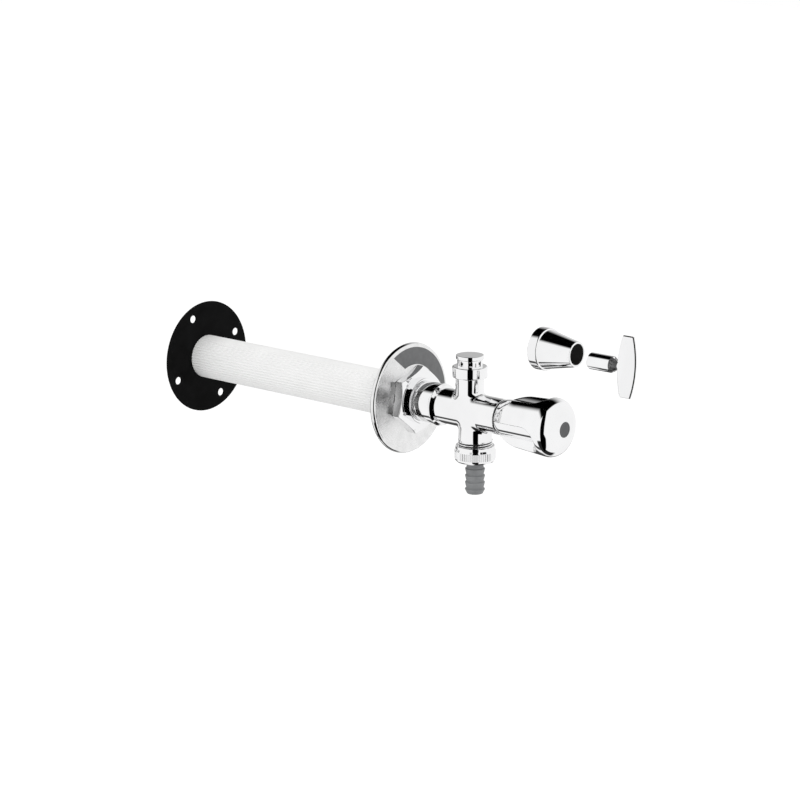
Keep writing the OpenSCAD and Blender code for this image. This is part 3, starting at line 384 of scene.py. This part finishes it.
def film_row(radius, lift):
    """One row of points across the film, at a radius and a height above the rosette's face."""
    height = rosette_front + face_slope * (radius - flat_r) + lift
    share = (radius - film_inner_r) / (film_outer_r - film_inner_r)
    first = film_first_inner + (film_first_outer - film_first_inner) * share
    bend = np.radians(np.linspace(first, film_last, film_steps + 1))
    return np.stack([radius * np.sin(bend), radius * np.cos(bend), np.full(film_steps + 1, height)], -1)


film_rows = [film_row(radius, lift) for radius, lift in (
    (film_inner_r, film_lift), (film_inner_r, film_lift + film_thickness),
    (film_outer_r, film_lift + film_thickness), (film_outer_r, film_lift))]
film_index = np.arange(4 * (film_steps + 1)).reshape(4, film_steps + 1)
film_quads = [
    (film_index[k, i], film_index[k, i + 1], film_index[(k + 1) % 4, i + 1], film_index[(k + 1) % 4, i])
    for k in range(4) for i in range(film_steps)]
film_ends = [tuple(film_index[:, 0]), tuple(film_index[::-1, -1])]
film = make("rosette_film", np.concatenate(film_rows), film_quads + film_ends, tap_axis)
fit(film, grey_film, "wall_valve", "dark_grey_plastic")


# Lock nut. A chrome-plated brass nut, screwed onto the body's spigot, that clamps the rosette to the wall.
# Its corners are chamfered, and a round collar on its outer side hides the end of the thread.
nut_low, nut_high = span("lock_nut")
nut_back = -nut_high[1]
collar_end = -nut_low[1]
nut_af = 46.0
nut_end = collar_end - 3.5
nut_collar_r = 17.8
nut_bore_r = 14.7
nut_corner = math.radians(20)
chamfer_slope = math.tan(math.radians(30))
chamfer_r = nut_af / 2 - 0.4
corner_sharpness = 150
corner_rows = 2.8
side_share = np.sin(np.radians(90 * np.linspace(-1, 1, 49)[:-1])) / 2 + 0.5
nut_turns = np.concatenate([nut_corner + math.pi / 3 * (side + side_share) for side in range(6)])
chrome = surface("polished_chrome", (0.90, 0.90, 0.905), (0.95, 0.95, 0.955), 25, (0.03, 0.06), 5, 0.0008,
                 Metallic=1.0)


def smaller(a, b, blend):
    """The smaller of two sizes, with a soft edge where they meet."""
    mix = np.clip(0.5 + 0.5 * (b - a) / blend, 0, 1)
    return b + (a - b) * mix - blend * mix * (1 - mix)


def hexagon(radius, height, turn):
    """Radii of the hexagon with soft corners and a conical chamfer, where the outline asks for them."""
    flats = sum(np.abs(np.cos(turn - nut_corner - math.pi / 6 - math.pi / 3 * k)) ** corner_sharpness
                for k in range(6)) / 2
    prism = nut_af / 2 / flats ** (1 / corner_sharpness)
    cone = chamfer_r + (nut_end - height) / chamfer_slope
    return np.where(radius > chamfer_r + 0.1, smaller(prism, cone, 0.25), radius)


hex_rows = [(nut_af, height) for height in np.concatenate([
    np.linspace(nut_back, nut_end - corner_rows, 4), np.linspace(nut_end - corner_rows + 0.2, nut_end, 27)])]
nut = make("lock_nut_hexagon", *turned(
    [(nut_bore_r, nut_back), *hex_rows]
    + rounded([(chamfer_r, nut_end), (nut_collar_r, nut_end), (nut_collar_r, collar_end, 0.6),
               (nut_bore_r, collar_end)]), nut_turns, hexagon), tap_axis)
fit(nut, chrome, "wall_valve", "chrome", "lock_nut")


# Valve body. One brass casting, machined and chrome plated: a threaded spigot into the wall, a shoulder
# with a raised ring, the barrel, and two necks that grow out of it with soft fillets, one up, one down.
def skin_of(shape, low, high, step):
    """Points and quads of the zero level of shape(points), which is negative inside.
    Each grid cell that the level crosses holds one point, which is then drawn onto the level."""
    axes = [np.arange(a, b + step, step) for a, b in zip(low, high)]
    inside = shape(np.stack(np.meshgrid(*axes, indexing="ij"), -1)) < 0
    corners = sum(inside[i:inside.shape[0] - 1 + i, j:inside.shape[1] - 1 + j, k:inside.shape[2] - 1 + k].astype(int)
                  for i in (0, 1) for j in (0, 1) for k in (0, 1))
    crossed = (corners > 0) & (corners < 8)
    number = np.full(crossed.shape, -1)
    number[crossed] = np.arange(crossed.sum())
    points = np.array(low) + step * (np.argwhere(crossed) + 0.5)
    quads = []
    for axis in range(3):
        across, up = (axis + 1) % 3, (axis + 2) % 3
        edges = np.argwhere(np.diff(inside.astype(int), axis=axis) != 0)
        ring = []
        for da, du in ((1, 1), (0, 1), (0, 0), (1, 0)):
            cell = edges.copy()
            cell[:, across] -= da
            cell[:, up] -= du
            ring.append(number[tuple(cell.T)])
        quads.append(np.stack(ring, -1))

    def slope(at):
        nudge = 0.01
        return np.stack([(shape(at + nudge * way) - shape(at - nudge * way)) / (2 * nudge) for way in np.eye(3)], -1)

    for _ in range(6):
        rise = slope(points)
        move = shape(points)[:, None] * rise / np.maximum((rise ** 2).sum(-1, keepdims=True), 0.1)
        points = points - np.clip(move, -step, step)
    return points, np.concatenate(quads)


def filleted(a, b, r):
    """Two shapes joined with a fillet of radius r."""
    inner = np.hypot(np.maximum(r - a, 0), np.maximum(r - b, 0))
    return np.maximum(r, np.minimum(a, b)) - inner


def join(main, others):
    """One piece out of several shells."""
    with bpy.context.temp_override(active_object=main, selected_editable_objects=[main, *others]):
        bpy.ops.object.join()


body_low, body_high = span("valve_body")
spigot_end = -body_high[1]
barrel_end = -body_low[1]
branch_at = -span("aerator_float")[0][1] - 6.9
outlet_at = -(span("hose_tail")[0][1] + span("hose_tail")[1][1]) / 2
spigot_r = 14.6
shoulder = collar_end + 0.7
shoulder_r = 15.8
ring = shoulder + 15.5
ring_r = body_high[0]
ring_end = ring + 3.5
ring_edge = 0.6
ring_slope = 1.7
barrel_r = 13.6
bore_r = 8.2
pipe_bore_r = 11.05
pipe_stop = spigot_end + 15
branch_r = 10.85
branch_top = 26.0
branch_collar_r = 13.4
branch_collar_top = body_high[2]
collar_edge = 0.9
air_way_r = 5.0
float_ledge = 15.0
float_bore_r = 7.5
cap_seat = 22.0
cap_bore_r = 9.3
outlet_r = 12.7
outlet_neck_end = -21.8
outlet_end = body_low[2]
hose_thread_r = 13.2
hose_pitch = 1.814
hose_depth = 1.0
# How far below the thread's crest, as a share of its depth, the painted groove shade begins.
groove_shade_depth = 0.55
check_seat = -14.0
check_way_r = 6.0
chamber_r = 8.9
cage_r = 9.65
cage_top = outlet_end + 8
neck_fillet = 3.0
overlap = 1.0
front_lap = 4.0
front_skin = 0.02


def casting(at):
    """The barrel with its two necks and its water ways, in the tap's own axes."""
    x, up, out = at[..., 0], at[..., 1], at[..., 2]
    from_tap, from_branch, from_outlet = np.hypot(x, up), np.hypot(x, out - branch_at), np.hypot(x, out - outlet_at)
    first, last = ring_end - overlap, barrel_end - front_lap + overlap
    barrel = np.maximum(from_tap - barrel_r, np.abs(out - (first + last) / 2) - (last - first) / 2)
    branch = np.maximum(from_branch - branch_r, np.maximum(up - branch_top - overlap, -up))
    outlet = np.maximum(from_outlet - outlet_r, np.maximum(outlet_neck_end - overlap - up, up))
    solid = filleted(filleted(barrel, branch, neck_fillet), outlet, neck_fillet)
    ways = [from_tap - bore_r, np.maximum(from_branch - air_way_r, -up),
            np.maximum(from_branch - float_bore_r, float_ledge - up),
            np.maximum(from_branch - cap_bore_r, cap_seat - up), np.maximum(from_outlet - check_way_r, up),
            np.maximum(from_outlet - chamber_r, up - check_seat)]
    return np.maximum(solid, -np.minimum.reduce(ways))


def hose_thread(radius, height, turn):
    return thread(radius, height, turn, hose_thread_r, hose_pitch, hose_depth, outlet_end, outlet_neck_end + 0.3)


margin = 1.0
body_step = 0.5
body_points, body_quads = skin_of(
    casting, (-ring_r - margin, outlet_neck_end - overlap - margin, ring_end - overlap - margin),
    (ring_r + margin, branch_top + overlap + margin, barrel_end + margin), body_step)
branch_axis = Matrix.Scale(MM, 4) @ Matrix.Translation((0, -branch_at, 0))
outlet_axis = Matrix.Scale(MM, 4) @ Matrix.Translation((0, -outlet_at, 0))
body_turns = even_turns(256)
body = make("valve_body_casting", body_points, body_quads, tap_axis, sharp=180)
body_shells = [
    make("spigot", *turned(rounded([
        (pipe_bore_r, spigot_end), (spigot_r, spigot_end, 0.8), (spigot_r, shoulder), (shoulder_r, shoulder, 1.1),
        (shoulder_r, ring), (ring_r, ring + ring_edge, 0.2), (ring_r, ring_end - ring_slope, 0.3),
        (ring_r - ring_slope, ring_end), (bore_r, ring_end), (bore_r, pipe_stop),
        (pipe_bore_r, pipe_stop)]), body_turns), tap_axis),
    make("barrel_front", *turned(rounded([
        (bore_r, barrel_end - front_lap), (barrel_r + front_skin, barrel_end - front_lap),
        (barrel_r + front_skin, barrel_end, 0.4), (bore_r, barrel_end)]), body_turns), tap_axis),
    make("branch_collar", *turned(rounded([
        (cap_bore_r, branch_top), (branch_collar_r, branch_top, collar_edge),
        (branch_collar_r, branch_collar_top, collar_edge), (cap_bore_r, branch_collar_top)]),
        body_turns), branch_axis),
    make("hose_thread", *turned(
        [(cage_r, outlet_end), *climb(hose_thread_r, outlet_end, outlet_neck_end, 0.12), (chamber_r, outlet_neck_end),
         (chamber_r, cage_top), (cage_r, cage_top)], body_turns, hose_thread), outlet_axis)]
join(body, body_shells)
fit(body, chrome, "wall_valve", "chrome", "valve_body")
# The faces deep in the hose thread's grooves get a near-black colour: painted shade where the grooves lie in shadow.
thread_groove_shade = surface("painted_shade_in_the_thread", (0.012, 0.012, 0.012), (0.03, 0.03, 0.03), 2, (0.5, 0.65), 0.3, 0.01)
body.data.materials.append(thread_groove_shade)
for face in body.data.polygons:
    from_outlet = math.hypot(face.center.x, face.center.y + outlet_at * MM) / MM
    in_groove = chamber_r + 1 < from_outlet < hose_thread_r - groove_shade_depth * hose_depth
    if in_groove and outlet_end + 0.1 < face.center.z / MM < outlet_neck_end - 0.1:
        face.material_index = 1


# Air valve cap. A small chrome-plated cap, screwed into the top of the branch; air comes in through the
# slots of its recessed band when the water is shut off, so that the pipe drains.
cap_low, cap_high = span("aerator_cap")
cap_top = cap_high[2]
cap_bottom = cap_low[2]
cap_r = cap_high[0]
cap_thread_r = 9.25
band_r = 9.6
band_top = branch_collar_top + 5.5
cap_hollow_r = 5.5
cap_edge = 0.5
slot_count = 8
slot_width = 2.4
slot_land = 0.8
cap = make("aerator_cap_top", *turned(rounded([
    (cap_hollow_r, cap_bottom), (cap_thread_r, cap_bottom), (cap_thread_r, branch_collar_top),
    (band_r, branch_collar_top), (band_r, band_top), (cap_r, band_top, cap_edge), (cap_r, cap_top, cap_edge),
    (0, cap_top), (0, band_top), (cap_hollow_r, band_top)]), even_turns(192)), branch_axis)
slot_corners = np.array([(x, y, z) for x in (0, 1) for y in (-0.5, 0.5) for z in (0, 1)])
slot_faces = [(0, 1, 3, 2), (4, 6, 7, 5), (0, 4, 5, 1), (2, 3, 7, 6), (0, 2, 6, 4), (1, 5, 7, 3)]
slot_size = np.array((cap_r, slot_width, band_top - branch_collar_top - 2 * slot_land))
slot_tools = []
for i in range(slot_count):
    swing = Matrix.Rotation(2 * math.pi * i / slot_count, 4, "Z")
    lift = Matrix.Translation((cap_hollow_r - 1, 0, branch_collar_top + slot_land))
    slot_tools.append(make("slot", slot_corners * slot_size, slot_faces, branch_axis @ swing @ lift))
cut(cap, slot_tools)
fit(cap, chrome, "wall_valve", "chrome", "aerator_cap")


# Hose tail. Moulded in mid-grey plastic: a flange under the union nut, a short neck and four barbs
# that hold the hose.
tail_low, tail_high = span("hose_tail")
tail_end = tail_low[2]
tail_top = tail_high[2]
tail_flange_r = tail_high[0]
tail_bore_r = 4.6
tail_flange = tail_top - 2
tail_neck_r = 8.5
tail_neck_end = tail_flange - 3.5
barb_r = 7.55
valley_r = 6.5
barb_count = 4
barb_pitch = 5.3
barb_land = 0.3
barb_foot = 0.9
first_barb = tail_flange - 8.6
barb_corners = [corner for i in range(barb_count) for corner in (
    (valley_r, first_barb - barb_pitch * i + barb_foot, 0.25), (barb_r, first_barb - barb_pitch * i + barb_land, 0.2),
    (barb_r, first_barb - barb_pitch * i - barb_land, 0.2))]
grey_plastic = surface("grey_moulding", (0.195, 0.2, 0.205), (0.23, 0.235, 0.24), 7, (0.4, 0.5), 0.35, 0.006)
tail = make("hose_tail_barbed", *turned(rounded(
    [(tail_bore_r, tail_end), (tail_bore_r, tail_top), (tail_flange_r, tail_top), (tail_flange_r, tail_flange),
     (tail_neck_r, tail_flange), (tail_neck_r, tail_neck_end), (valley_r, tail_neck_end - 0.6), *barb_corners,
     (valley_r - 0.5, tail_end, 0.4)], guard=0.03), even_turns(128)), outlet_axis)
fit(tail, grey_plastic, "tail", "grey_plastic", "hose_tail")


# Union nut. A chrome-plated nut that turns on the hose thread and draws up the flange of the hose tail;
# it has a round shoulder, a band of fine knurling for the fingers and a chamfered foot.
union_low, union_high = span("union_nut")
union_end = union_low[2]
union_top = union_high[2]
union_r = union_high[0]
union_top_r = 14.9
union_bead = 0.4
bead_slope = 1.6
union_bore_r = 13.3
lip_top = tail_flange
neck_bore_r = 8.8
knurl_count = 60
knurl_depth = 0.35
knurl_foot = union_end + 2.5
knurl_top = knurl_foot + 5.7
knurl_r = union_r - 0.1
foot_r = knurl_r - knurl_depth - 0.1
foot_chamfer = 1.2


def knurl(radius, height, turn):
    ridge = np.clip(1.5 * np.cos(knurl_count * turn), -1, 1)
    return np.where(np.abs(radius - knurl_r) < 1e-6, radius - knurl_depth * (1 - ridge) / 2, radius)


union = make("union_nut_knurled", *turned(
    rounded([(neck_bore_r, union_end), (foot_r - foot_chamfer, union_end), (foot_r, union_end + foot_chamfer),
             (foot_r, knurl_foot)])
    + [(knurl_r, knurl_foot), (knurl_r, knurl_top)]
    + rounded([(foot_r, knurl_top), (union_r, knurl_top, 0.1), (union_r, knurl_top + union_bead, 0.15),
               (union_top_r, knurl_top + union_bead + bead_slope, 0.5), (union_top_r, union_top, 0.5),
               (union_bore_r, union_top)], guard=0.02)
    + [(union_bore_r, lip_top), (neck_bore_r, lip_top)], even_turns(knurl_count * 12), knurl), outlet_axis, sharp=40)
fit(union, chrome, "union", "chrome", "union_nut")


# Knob. A hollow chrome-plated casting on the spindle's square: a shoulder that swells out of the barrel,
# a slightly tapered side with three finger recesses that end round before the rim, and a domed face.
knob_high = span("knob")[1]
knob_back = -knob_high[1]
knob_rim = knob_back + 46.1
knob_rear_r = 13.0
knob_shoulder_r = 20.5
knob_shoulder = knob_back + 20
knob_rim_r = knob_high[0]
knob_edge_r = 9.2
dome_angle = 68
flute_count = 3
flute_turn = math.radians(88)
flute_floor_r = 14.2
flute_side_r = 21.3
flute_half = 12.1
flute_wall = 2.3
flute_slope = (flute_side_r - flute_floor_r) / flute_wall
flute_to_rim = 1.8
flute_round = knob_rim - flute_to_rim - flute_half
flute_edge = 1.6
edge_x = knob_rim_r - knob_edge_r
dome_edge_r = edge_x + knob_edge_r * math.cos(math.radians(dome_angle))
dome_r = dome_edge_r / math.cos(math.radians(dome_angle))
dome_centre = knob_rim + (knob_edge_r - dome_r) * math.sin(math.radians(dome_angle))
plug_r = 5.95
plug_depth = 3.2
dome_top = dome_centre + dome_r
plug_angle = math.degrees(math.acos(plug_r / dome_r))
screw_head_r = 4.0
screw_hole_r = 2.2
screw_seat = knob_back + 35.9
square_r = 5.1
square_end = knob_back + 26.9
knob_hub_r = 7.0
knob_hub = knob_back + 7.9
hollow_r = 12.6
hollow_end = knob_back + 30.9
mouth_r = 11.4
mouth_slope = 2.0
knob_inside = [
    (plug_r, dome_top - plug_depth), (screw_head_r, dome_top - plug_depth), (screw_head_r, screw_seat),
    (screw_hole_r, screw_seat), (screw_hole_r, square_end), (square_r, square_end), (square_r, knob_hub),
    (knob_hub_r, knob_hub), (knob_hub_r, hollow_end), (hollow_r, hollow_end), (hollow_r, knob_hub + mouth_slope),
    (mouth_r, knob_hub), (mouth_r, knob_back)]
side_slope = math.atan((knob_rim_r - knob_shoulder_r) / (knob_rim - knob_shoulder))
side_end = knob_rim - knob_edge_r * math.sin(side_slope)
side_steps = np.linspace(knob_back, side_end, 161)
swell_share = np.clip((side_steps - knob_back) / (knob_shoulder - knob_back), 0, 1)
side_r = knob_rear_r + (knob_shoulder_r - knob_rear_r) * np.sin(math.pi / 2 * swell_share)
side_rise = edge_x + knob_edge_r * math.cos(side_slope) - knob_shoulder_r
side_r += side_rise * np.maximum(side_steps - knob_shoulder, 0) / (side_end - knob_shoulder)
soft_reach = 8
soft_share = np.full(2 * soft_reach + 1, 1 / (2 * soft_reach + 1))
soft_side = np.convolve(np.pad(side_r, soft_reach, mode="reflect", reflect_type="odd"), soft_share, "valid")
knob_side = list(zip(soft_side, side_steps))


def from_flute(height, turn):
    """The distance from the middle line of the nearest recess, measured round its end as well."""
    sector = 2 * math.pi / flute_count
    across = flute_side_r * ((turn - flute_turn + sector / 2) % sector - sector / 2)
    return np.hypot(across, np.maximum(height - flute_round, 0))


def flutes(radius, height, turn):
    """Three recesses in the outside, each with the round core as its floor, steep walls and a round end."""
    wall_rise = flute_slope * (from_flute(height, turn) - flute_half + flute_wall)
    recess_r = flute_floor_r - smaller(0.0, -wall_rise, flute_edge)
    outside = (radius > knob_rear_r - 0.01) & (height <= knob_rim + 0.01)
    return np.where(outside, smaller(radius, recess_r, flute_edge), radius)


knob = make("knob_fluted", *turned(
    [(knob_rear_r - 0.5, knob_back), *knob_side]
    + arc(edge_x, knob_rim, knob_edge_r, -math.degrees(side_slope) + 1, dome_angle, 40)
    + arc(0, dome_centre, dome_r, dome_angle, plug_angle, 28)[1:] + knob_inside, even_turns(720), flutes),
    tap_axis, sharp=50)
fit(knob, chrome, "handle", "chrome", "knob")


# Index plug. A dark grey plastic plug with a slightly dished face; its stem is pushed into the middle
# of the knob, where it hides the screw.
plug_low, plug_high = span("index_plug")
plug_top = -plug_low[1]
plug_end = -plug_high[1]
plug_face_r = plug_high[0]
plug_dish = 0.25
stem_r = 3.9
dark_plastic = surface("dark_grey_plug", (0.060, 0.061, 0.064), (0.078, 0.080, 0.083), 4, (0.32, 0.42), 0.3, 0.004)
plug = make("index_plug_disc", *turned(rounded([
    (0, plug_end), (stem_r, plug_end), (stem_r, plug_top - plug_depth), (plug_face_r, plug_top - plug_depth),
    (plug_face_r, plug_top, 0.35), (plug_face_r - 1.6, plug_top - plug_dish, 2), (0, plug_top - plug_dish)]),
    even_turns(128)), tap_axis)
fit(plug, dark_plastic, "handle", "dark_grey_plastic", "index_plug")


# Lock cone. A hollow chrome-plated cone, shown taken off: it takes the knob's place on the end of the
# barrel, and only the key reaches the spindle through its bore.
cone_low, cone_high = span("lock_cone")
cone_back = -cone_high[1]
cone_end = -cone_low[1]
cone_up = (cone_low[2] + cone_high[2]) / 2
cone_collar_r = cone_high[0]
cone_collar_end = cone_back + 8.3
cone_r = 14.5
cone_front_r = 9.4
cone_bore_r = 7.9
cone_socket_r = 13.8
cone_inside_r = 12.7
cone_bore_length = 5
cone_socket_end = cone_back + 6.5
cone_axis = Matrix.Scale(MM, 4) @ Matrix.Translation((0, 0, cone_up)) @ Matrix.Rotation(math.radians(90), 4, "X")
cone = make("lock_cone_shell", *turned(rounded([
    (cone_socket_r, cone_back), (cone_collar_r, cone_back, 0.8), (cone_collar_r, cone_collar_end, 1.1),
    (cone_r, cone_collar_end), (cone_front_r, cone_end, 0.3), (cone_bore_r, cone_end, 0.3),
    (cone_bore_r, cone_end - cone_bore_length), (cone_inside_r, cone_collar_end), (cone_inside_r, cone_socket_end),
    (cone_socket_r, cone_socket_end)]), even_turns(256)), cone_axis)
fit(cone, chrome, "cone", "chrome", "lock_cone")
# The faces that look into the hollow of the cone are near black and dull: painted shade inside the hollow.
bore_shade = surface("painted_shade_in_the_bore", (0.004, 0.004, 0.004), (0.012, 0.011, 0.010), 3, (0.55, 0.7), 0.4, 0.01,
                      Specular_IOR_Level=0.1)
cone.data.materials.append(bore_shade)
for face in cone.data.polygons:
    faces_in = face.center.x * face.normal.x + (face.center.z - cone_up * MM) * face.normal.z < 0
    if faces_in and -face.center.y / MM < cone_end - 0.3:
        face.material_index = 1


# Key shank. A turned and plated rod, shown taken off: a square socket for the spindle in one end,
# a short taper and a slot for the wing at the other.
shank_low, shank_high = span("key_shank")
shank_back = -shank_high[1]
shank_end = -shank_low[1]
shank_r = 6.15
shank_taper = 5.5
shank_tip_r = shank_r - 3.4
key_up = (shank_low[2] + shank_high[2]) / 2
key_roll = math.radians(-4)
key_axis = (Matrix.Scale(MM, 4) @ Matrix.Translation((0, 0, key_up)) @ Matrix.Rotation(math.radians(90), 4, "X")
            @ Matrix.Rotation(key_roll, 4, "Z"))
socket_side = 7.24
socket_depth = 12
wing_slot = 2.6
wing_slot_depth = 5
shank = make("key_shank_rod", *turned(rounded([
    (0, shank_back), (shank_r, shank_back, 0.6), (shank_r, shank_end - shank_taper, 0.3),
    (shank_tip_r, shank_end, 0.3), (0, shank_end)]), even_turns(160)), key_axis)
block = slot_corners - np.array((0.5, 0, 0))
socket_tool = make("socket", block * (socket_side, socket_side, socket_depth + 1), slot_faces,
                   key_axis @ Matrix.Translation((0, 0, shank_back - 1)))
slot_tool = make("wing_slot", block * (wing_slot, 4 * shank_r, wing_slot_depth + 1), slot_faces,
                 key_axis @ Matrix.Translation((0, 0, shank_end - wing_slot_depth)))
cut(shank, [socket_tool, slot_tool])
fit(shank, chrome, "key", "chrome", "key_shank")
# The sides of the taper are ground, which makes them rough; their dark grey, mottled colour is a painted reflection.
ground_taper_painted_reflection = surface("ground_taper_painted_reflection", (0.10, 0.10, 0.102), (0.50, 0.50, 0.505), 1.2, (0.38, 0.5), 0.4, 0.02,
                       Metallic=1.0)
shank.data.materials.append(ground_taper_painted_reflection)
for face in shank.data.polygons:
    if -face.center.y / MM > shank_end - shank_taper and abs(face.normal.y) < 0.9:
        face.material_index = 1


# Key wing. A flat plate with bulging sides and softly rounded edges, stamped and plated, whose tang is
# pressed into the shank's slot.
wing_end = -span("key_wing")[0][1]
wing_thickness = 2.5
wing_height = 45.4
wing_width = 16.5
wing_end_width = 9.4
wing_edge = 0.7
wing_middle = wing_end - wing_width / 2
bulge = (wing_width - wing_end_width) / 2
wing_side_r = ((wing_height / 2) ** 2 + bulge ** 2) / (2 * bulge)
wing_side_angle = math.degrees(math.asin(wing_height / 2 / wing_side_r))
tang_width = 4.9
tang_angle = math.degrees(math.asin(tang_width / 2 / wing_side_r))
tang_end = shank_end - wing_slot_depth
front = arc(wing_middle + wing_width / 2 - wing_side_r, 0, wing_side_r, -wing_side_angle, wing_side_angle, 40)
back = wing_middle - wing_width / 2 + wing_side_r
wing_outline = (front + arc(back, 0, wing_side_r, 180 - wing_side_angle, 180 - tang_angle, 18)
                + [(tang_end, tang_width / 2), (tang_end, -tang_width / 2)]
                + arc(back, 0, wing_side_r, 180 + tang_angle, 180 + wing_side_angle, 18))
count = len(wing_outline)
wing_points = [(side * wing_thickness / 2, up, out) for side in (-1, 1) for out, up in wing_outline]
wing_faces = [tuple(range(count)), tuple(range(2 * count - 1, count - 1, -1))]
wing_faces += [(i, (i + 1) % count, count + (i + 1) % count, count + i) for i in range(count)]
wing = make("key_wing_plate", wing_points, wing_faces, key_axis)
soften = wing.modifiers.new("soften", "BEVEL")
soften.width = wing_edge * MM
soften.segments = 1
soften.limit_method = "ANGLE"
soften.angle_limit = math.radians(40)
cut(wing, [])
fit(wing, chrome, "key", "chrome", "key_wing")
for loose in (cone, shank, wing):
    loose.visible_glossy = False


# Studio. A plain pale floor well below the tap, a white room and one soft box. The room has dark flags that
# show in polished metal alone: one overhead, two low ones behind the tap, one below it and two by the camera.
floor_drop = -0.35
floor_size = 6
floor_glow = 0.25
floor_mesh = bpy.data.meshes.new("floor")
floor_corners = [(x * floor_size, y * floor_size, floor_drop) for x, y in ((-1, -1), (1, -1), (1, 1), (-1, 1))]
floor_mesh.from_pydata(floor_corners, [], [(0, 1, 2, 3)])
floor = bpy.data.objects.new("floor", floor_mesh)
bpy.context.scene.collection.objects.link(floor)
floor_paint = surface("pale_floor", (0.88, 0.88, 0.88), (0.90, 0.90, 0.90), 400, (0.8, 0.9), 2, 0.005)
tree = floor_paint.node_tree
seen = add_node(tree, "LightPath").outputs["Is Camera Ray"]
glow = add_node(tree, "Math", {0: seen, 1: floor_glow}, operation="MULTIPLY").outputs[0]
tree.links.new(glow, tree.nodes["Principled BSDF"].inputs["Emission Strength"])
tree.nodes["Principled BSDF"].inputs["Emission Color"].default_value = (1, 1, 1, 1)
floor.data.materials.append(floor_paint)
floor.visible_glossy = False

room = bpy.data.worlds.new("white_room")
room.use_nodes = True
bpy.context.scene.world = room
tree = room.node_tree
direction = add_node(tree, "TexCoord").outputs["Generated"]
way = add_node(tree, "SeparateXYZ", {0: direction}).outputs


def angle(a, b):
    """The angle of a direction, in degrees."""
    turn = add_node(tree, "Math", {0: a, 1: b}, operation="ARCTAN2").outputs[0]
    return add_node(tree, "Math", {0: turn}, operation="DEGREES").outputs[0]


def ramp(value, zero, one):
    """Rises smoothly from 0 to 1 between two values."""
    return add_node(tree, "MapRange", {"Value": value, "From Min": zero, "From Max": one},
                    interpolation_type="SMOOTHSTEP").outputs["Result"]


def both(*parts):
    """The product of several parts."""
    whole = parts[0]
    for part in parts[1:]:
        whole = add_node(tree, "Math", {0: whole, 1: part}, operation="MULTIPLY").outputs[0]
    return whole


def strip(value, first, last, soft_first, soft_last):
    """One between two values, with soft ends outside them."""
    return both(ramp(value, first - soft_first, first), ramp(value, last + soft_last, last))


round_tap = angle(way["Z"], way["X"])
compass = angle(way["Y"], way["X"])
to_ceiling = add_node(tree, "VectorMath", {0: direction, 1: (0.673, -0.506, 0.54)}, operation="DOT_PRODUCT")
front_edge = add_node(tree, "VectorMath", {0: direction, 1: (0, 1.2, 1)}, operation="DOT_PRODUCT")
ceiling = both(ramp(to_ceiling.outputs["Value"], -0.22, 0.04), ramp(way["X"], 0.98, 0.50),
               ramp(front_edge.outputs["Value"], 0.30, 0.50))
low_line = both(strip(round_tap, -110, -99, 4, 4), ramp(way["Y"], 0.05, 0.25), 0.9)
low_flag = both(strip(round_tap, -72, -24, 14, 6), ramp(way["Y"], 0.25, 0.45), 0.9)
below = both(ramp(way["Z"], -0.62, -0.70), strip(way["Y"], -0.3, 0.15, 0.05, 0.1),
             ramp(way["X"], 0.6, 0.45), 0.95)
camera_flag = strip(compass, -155, -122, 3, 3)
slanted = add_node(tree, "Math", {0: way["Z"], 1: 110.0, 2: compass}, operation="MULTIPLY_ADD").outputs[0]
front_flag = both(strip(compass, -125, -103, 3, 5), ramp(slanted, -148, -155))
dark = 0.0
for part in (ceiling, low_line, low_flag, below, camera_flag, front_flag):
    dark = add_node(tree, "Math", {0: dark, 1: part}, operation="MAXIMUM").outputs[0]
room_in_chrome = 0.97
mirrored = add_node(tree, "Math", {0: room_in_chrome, 1: dark}, operation="SUBTRACT", use_clamp=True).outputs[0]
light = add_node(tree, "LightPath").outputs
room_light = 0.9
shown = add_node(tree, "Math", {0: light["Is Camera Ray"], 1: light["Is Transmission Ray"]},
                 operation="MAXIMUM").outputs[0]
level = add_node(tree, "Mix", {"Factor": light["Is Glossy Ray"], "A": room_light, "B": mirrored}).outputs["Result"]
level = add_node(tree, "Mix", {"Factor": shown, "A": level, "B": 1.0}).outputs["Result"]
tree.links.new(level, tree.nodes["Background"].inputs["Strength"])
tree.nodes["Background"].inputs["Color"].default_value = (1, 1, 1, 1)

soft_box = bpy.data.lights.new("soft_box", "AREA")
soft_box.energy = 7
soft_box.size = 1.2
lamp = bpy.data.objects.new("soft_box", soft_box)
lamp.location = Vector((-0.9, -0.9, 1.1))
lamp.rotation_euler = (-lamp.location).to_track_quat("-Z", "Y").to_euler()
lamp.visible_glossy = False
bpy.context.scene.collection.objects.link(lamp)

bpy.context.scene.view_settings.view_transform = "Standard"
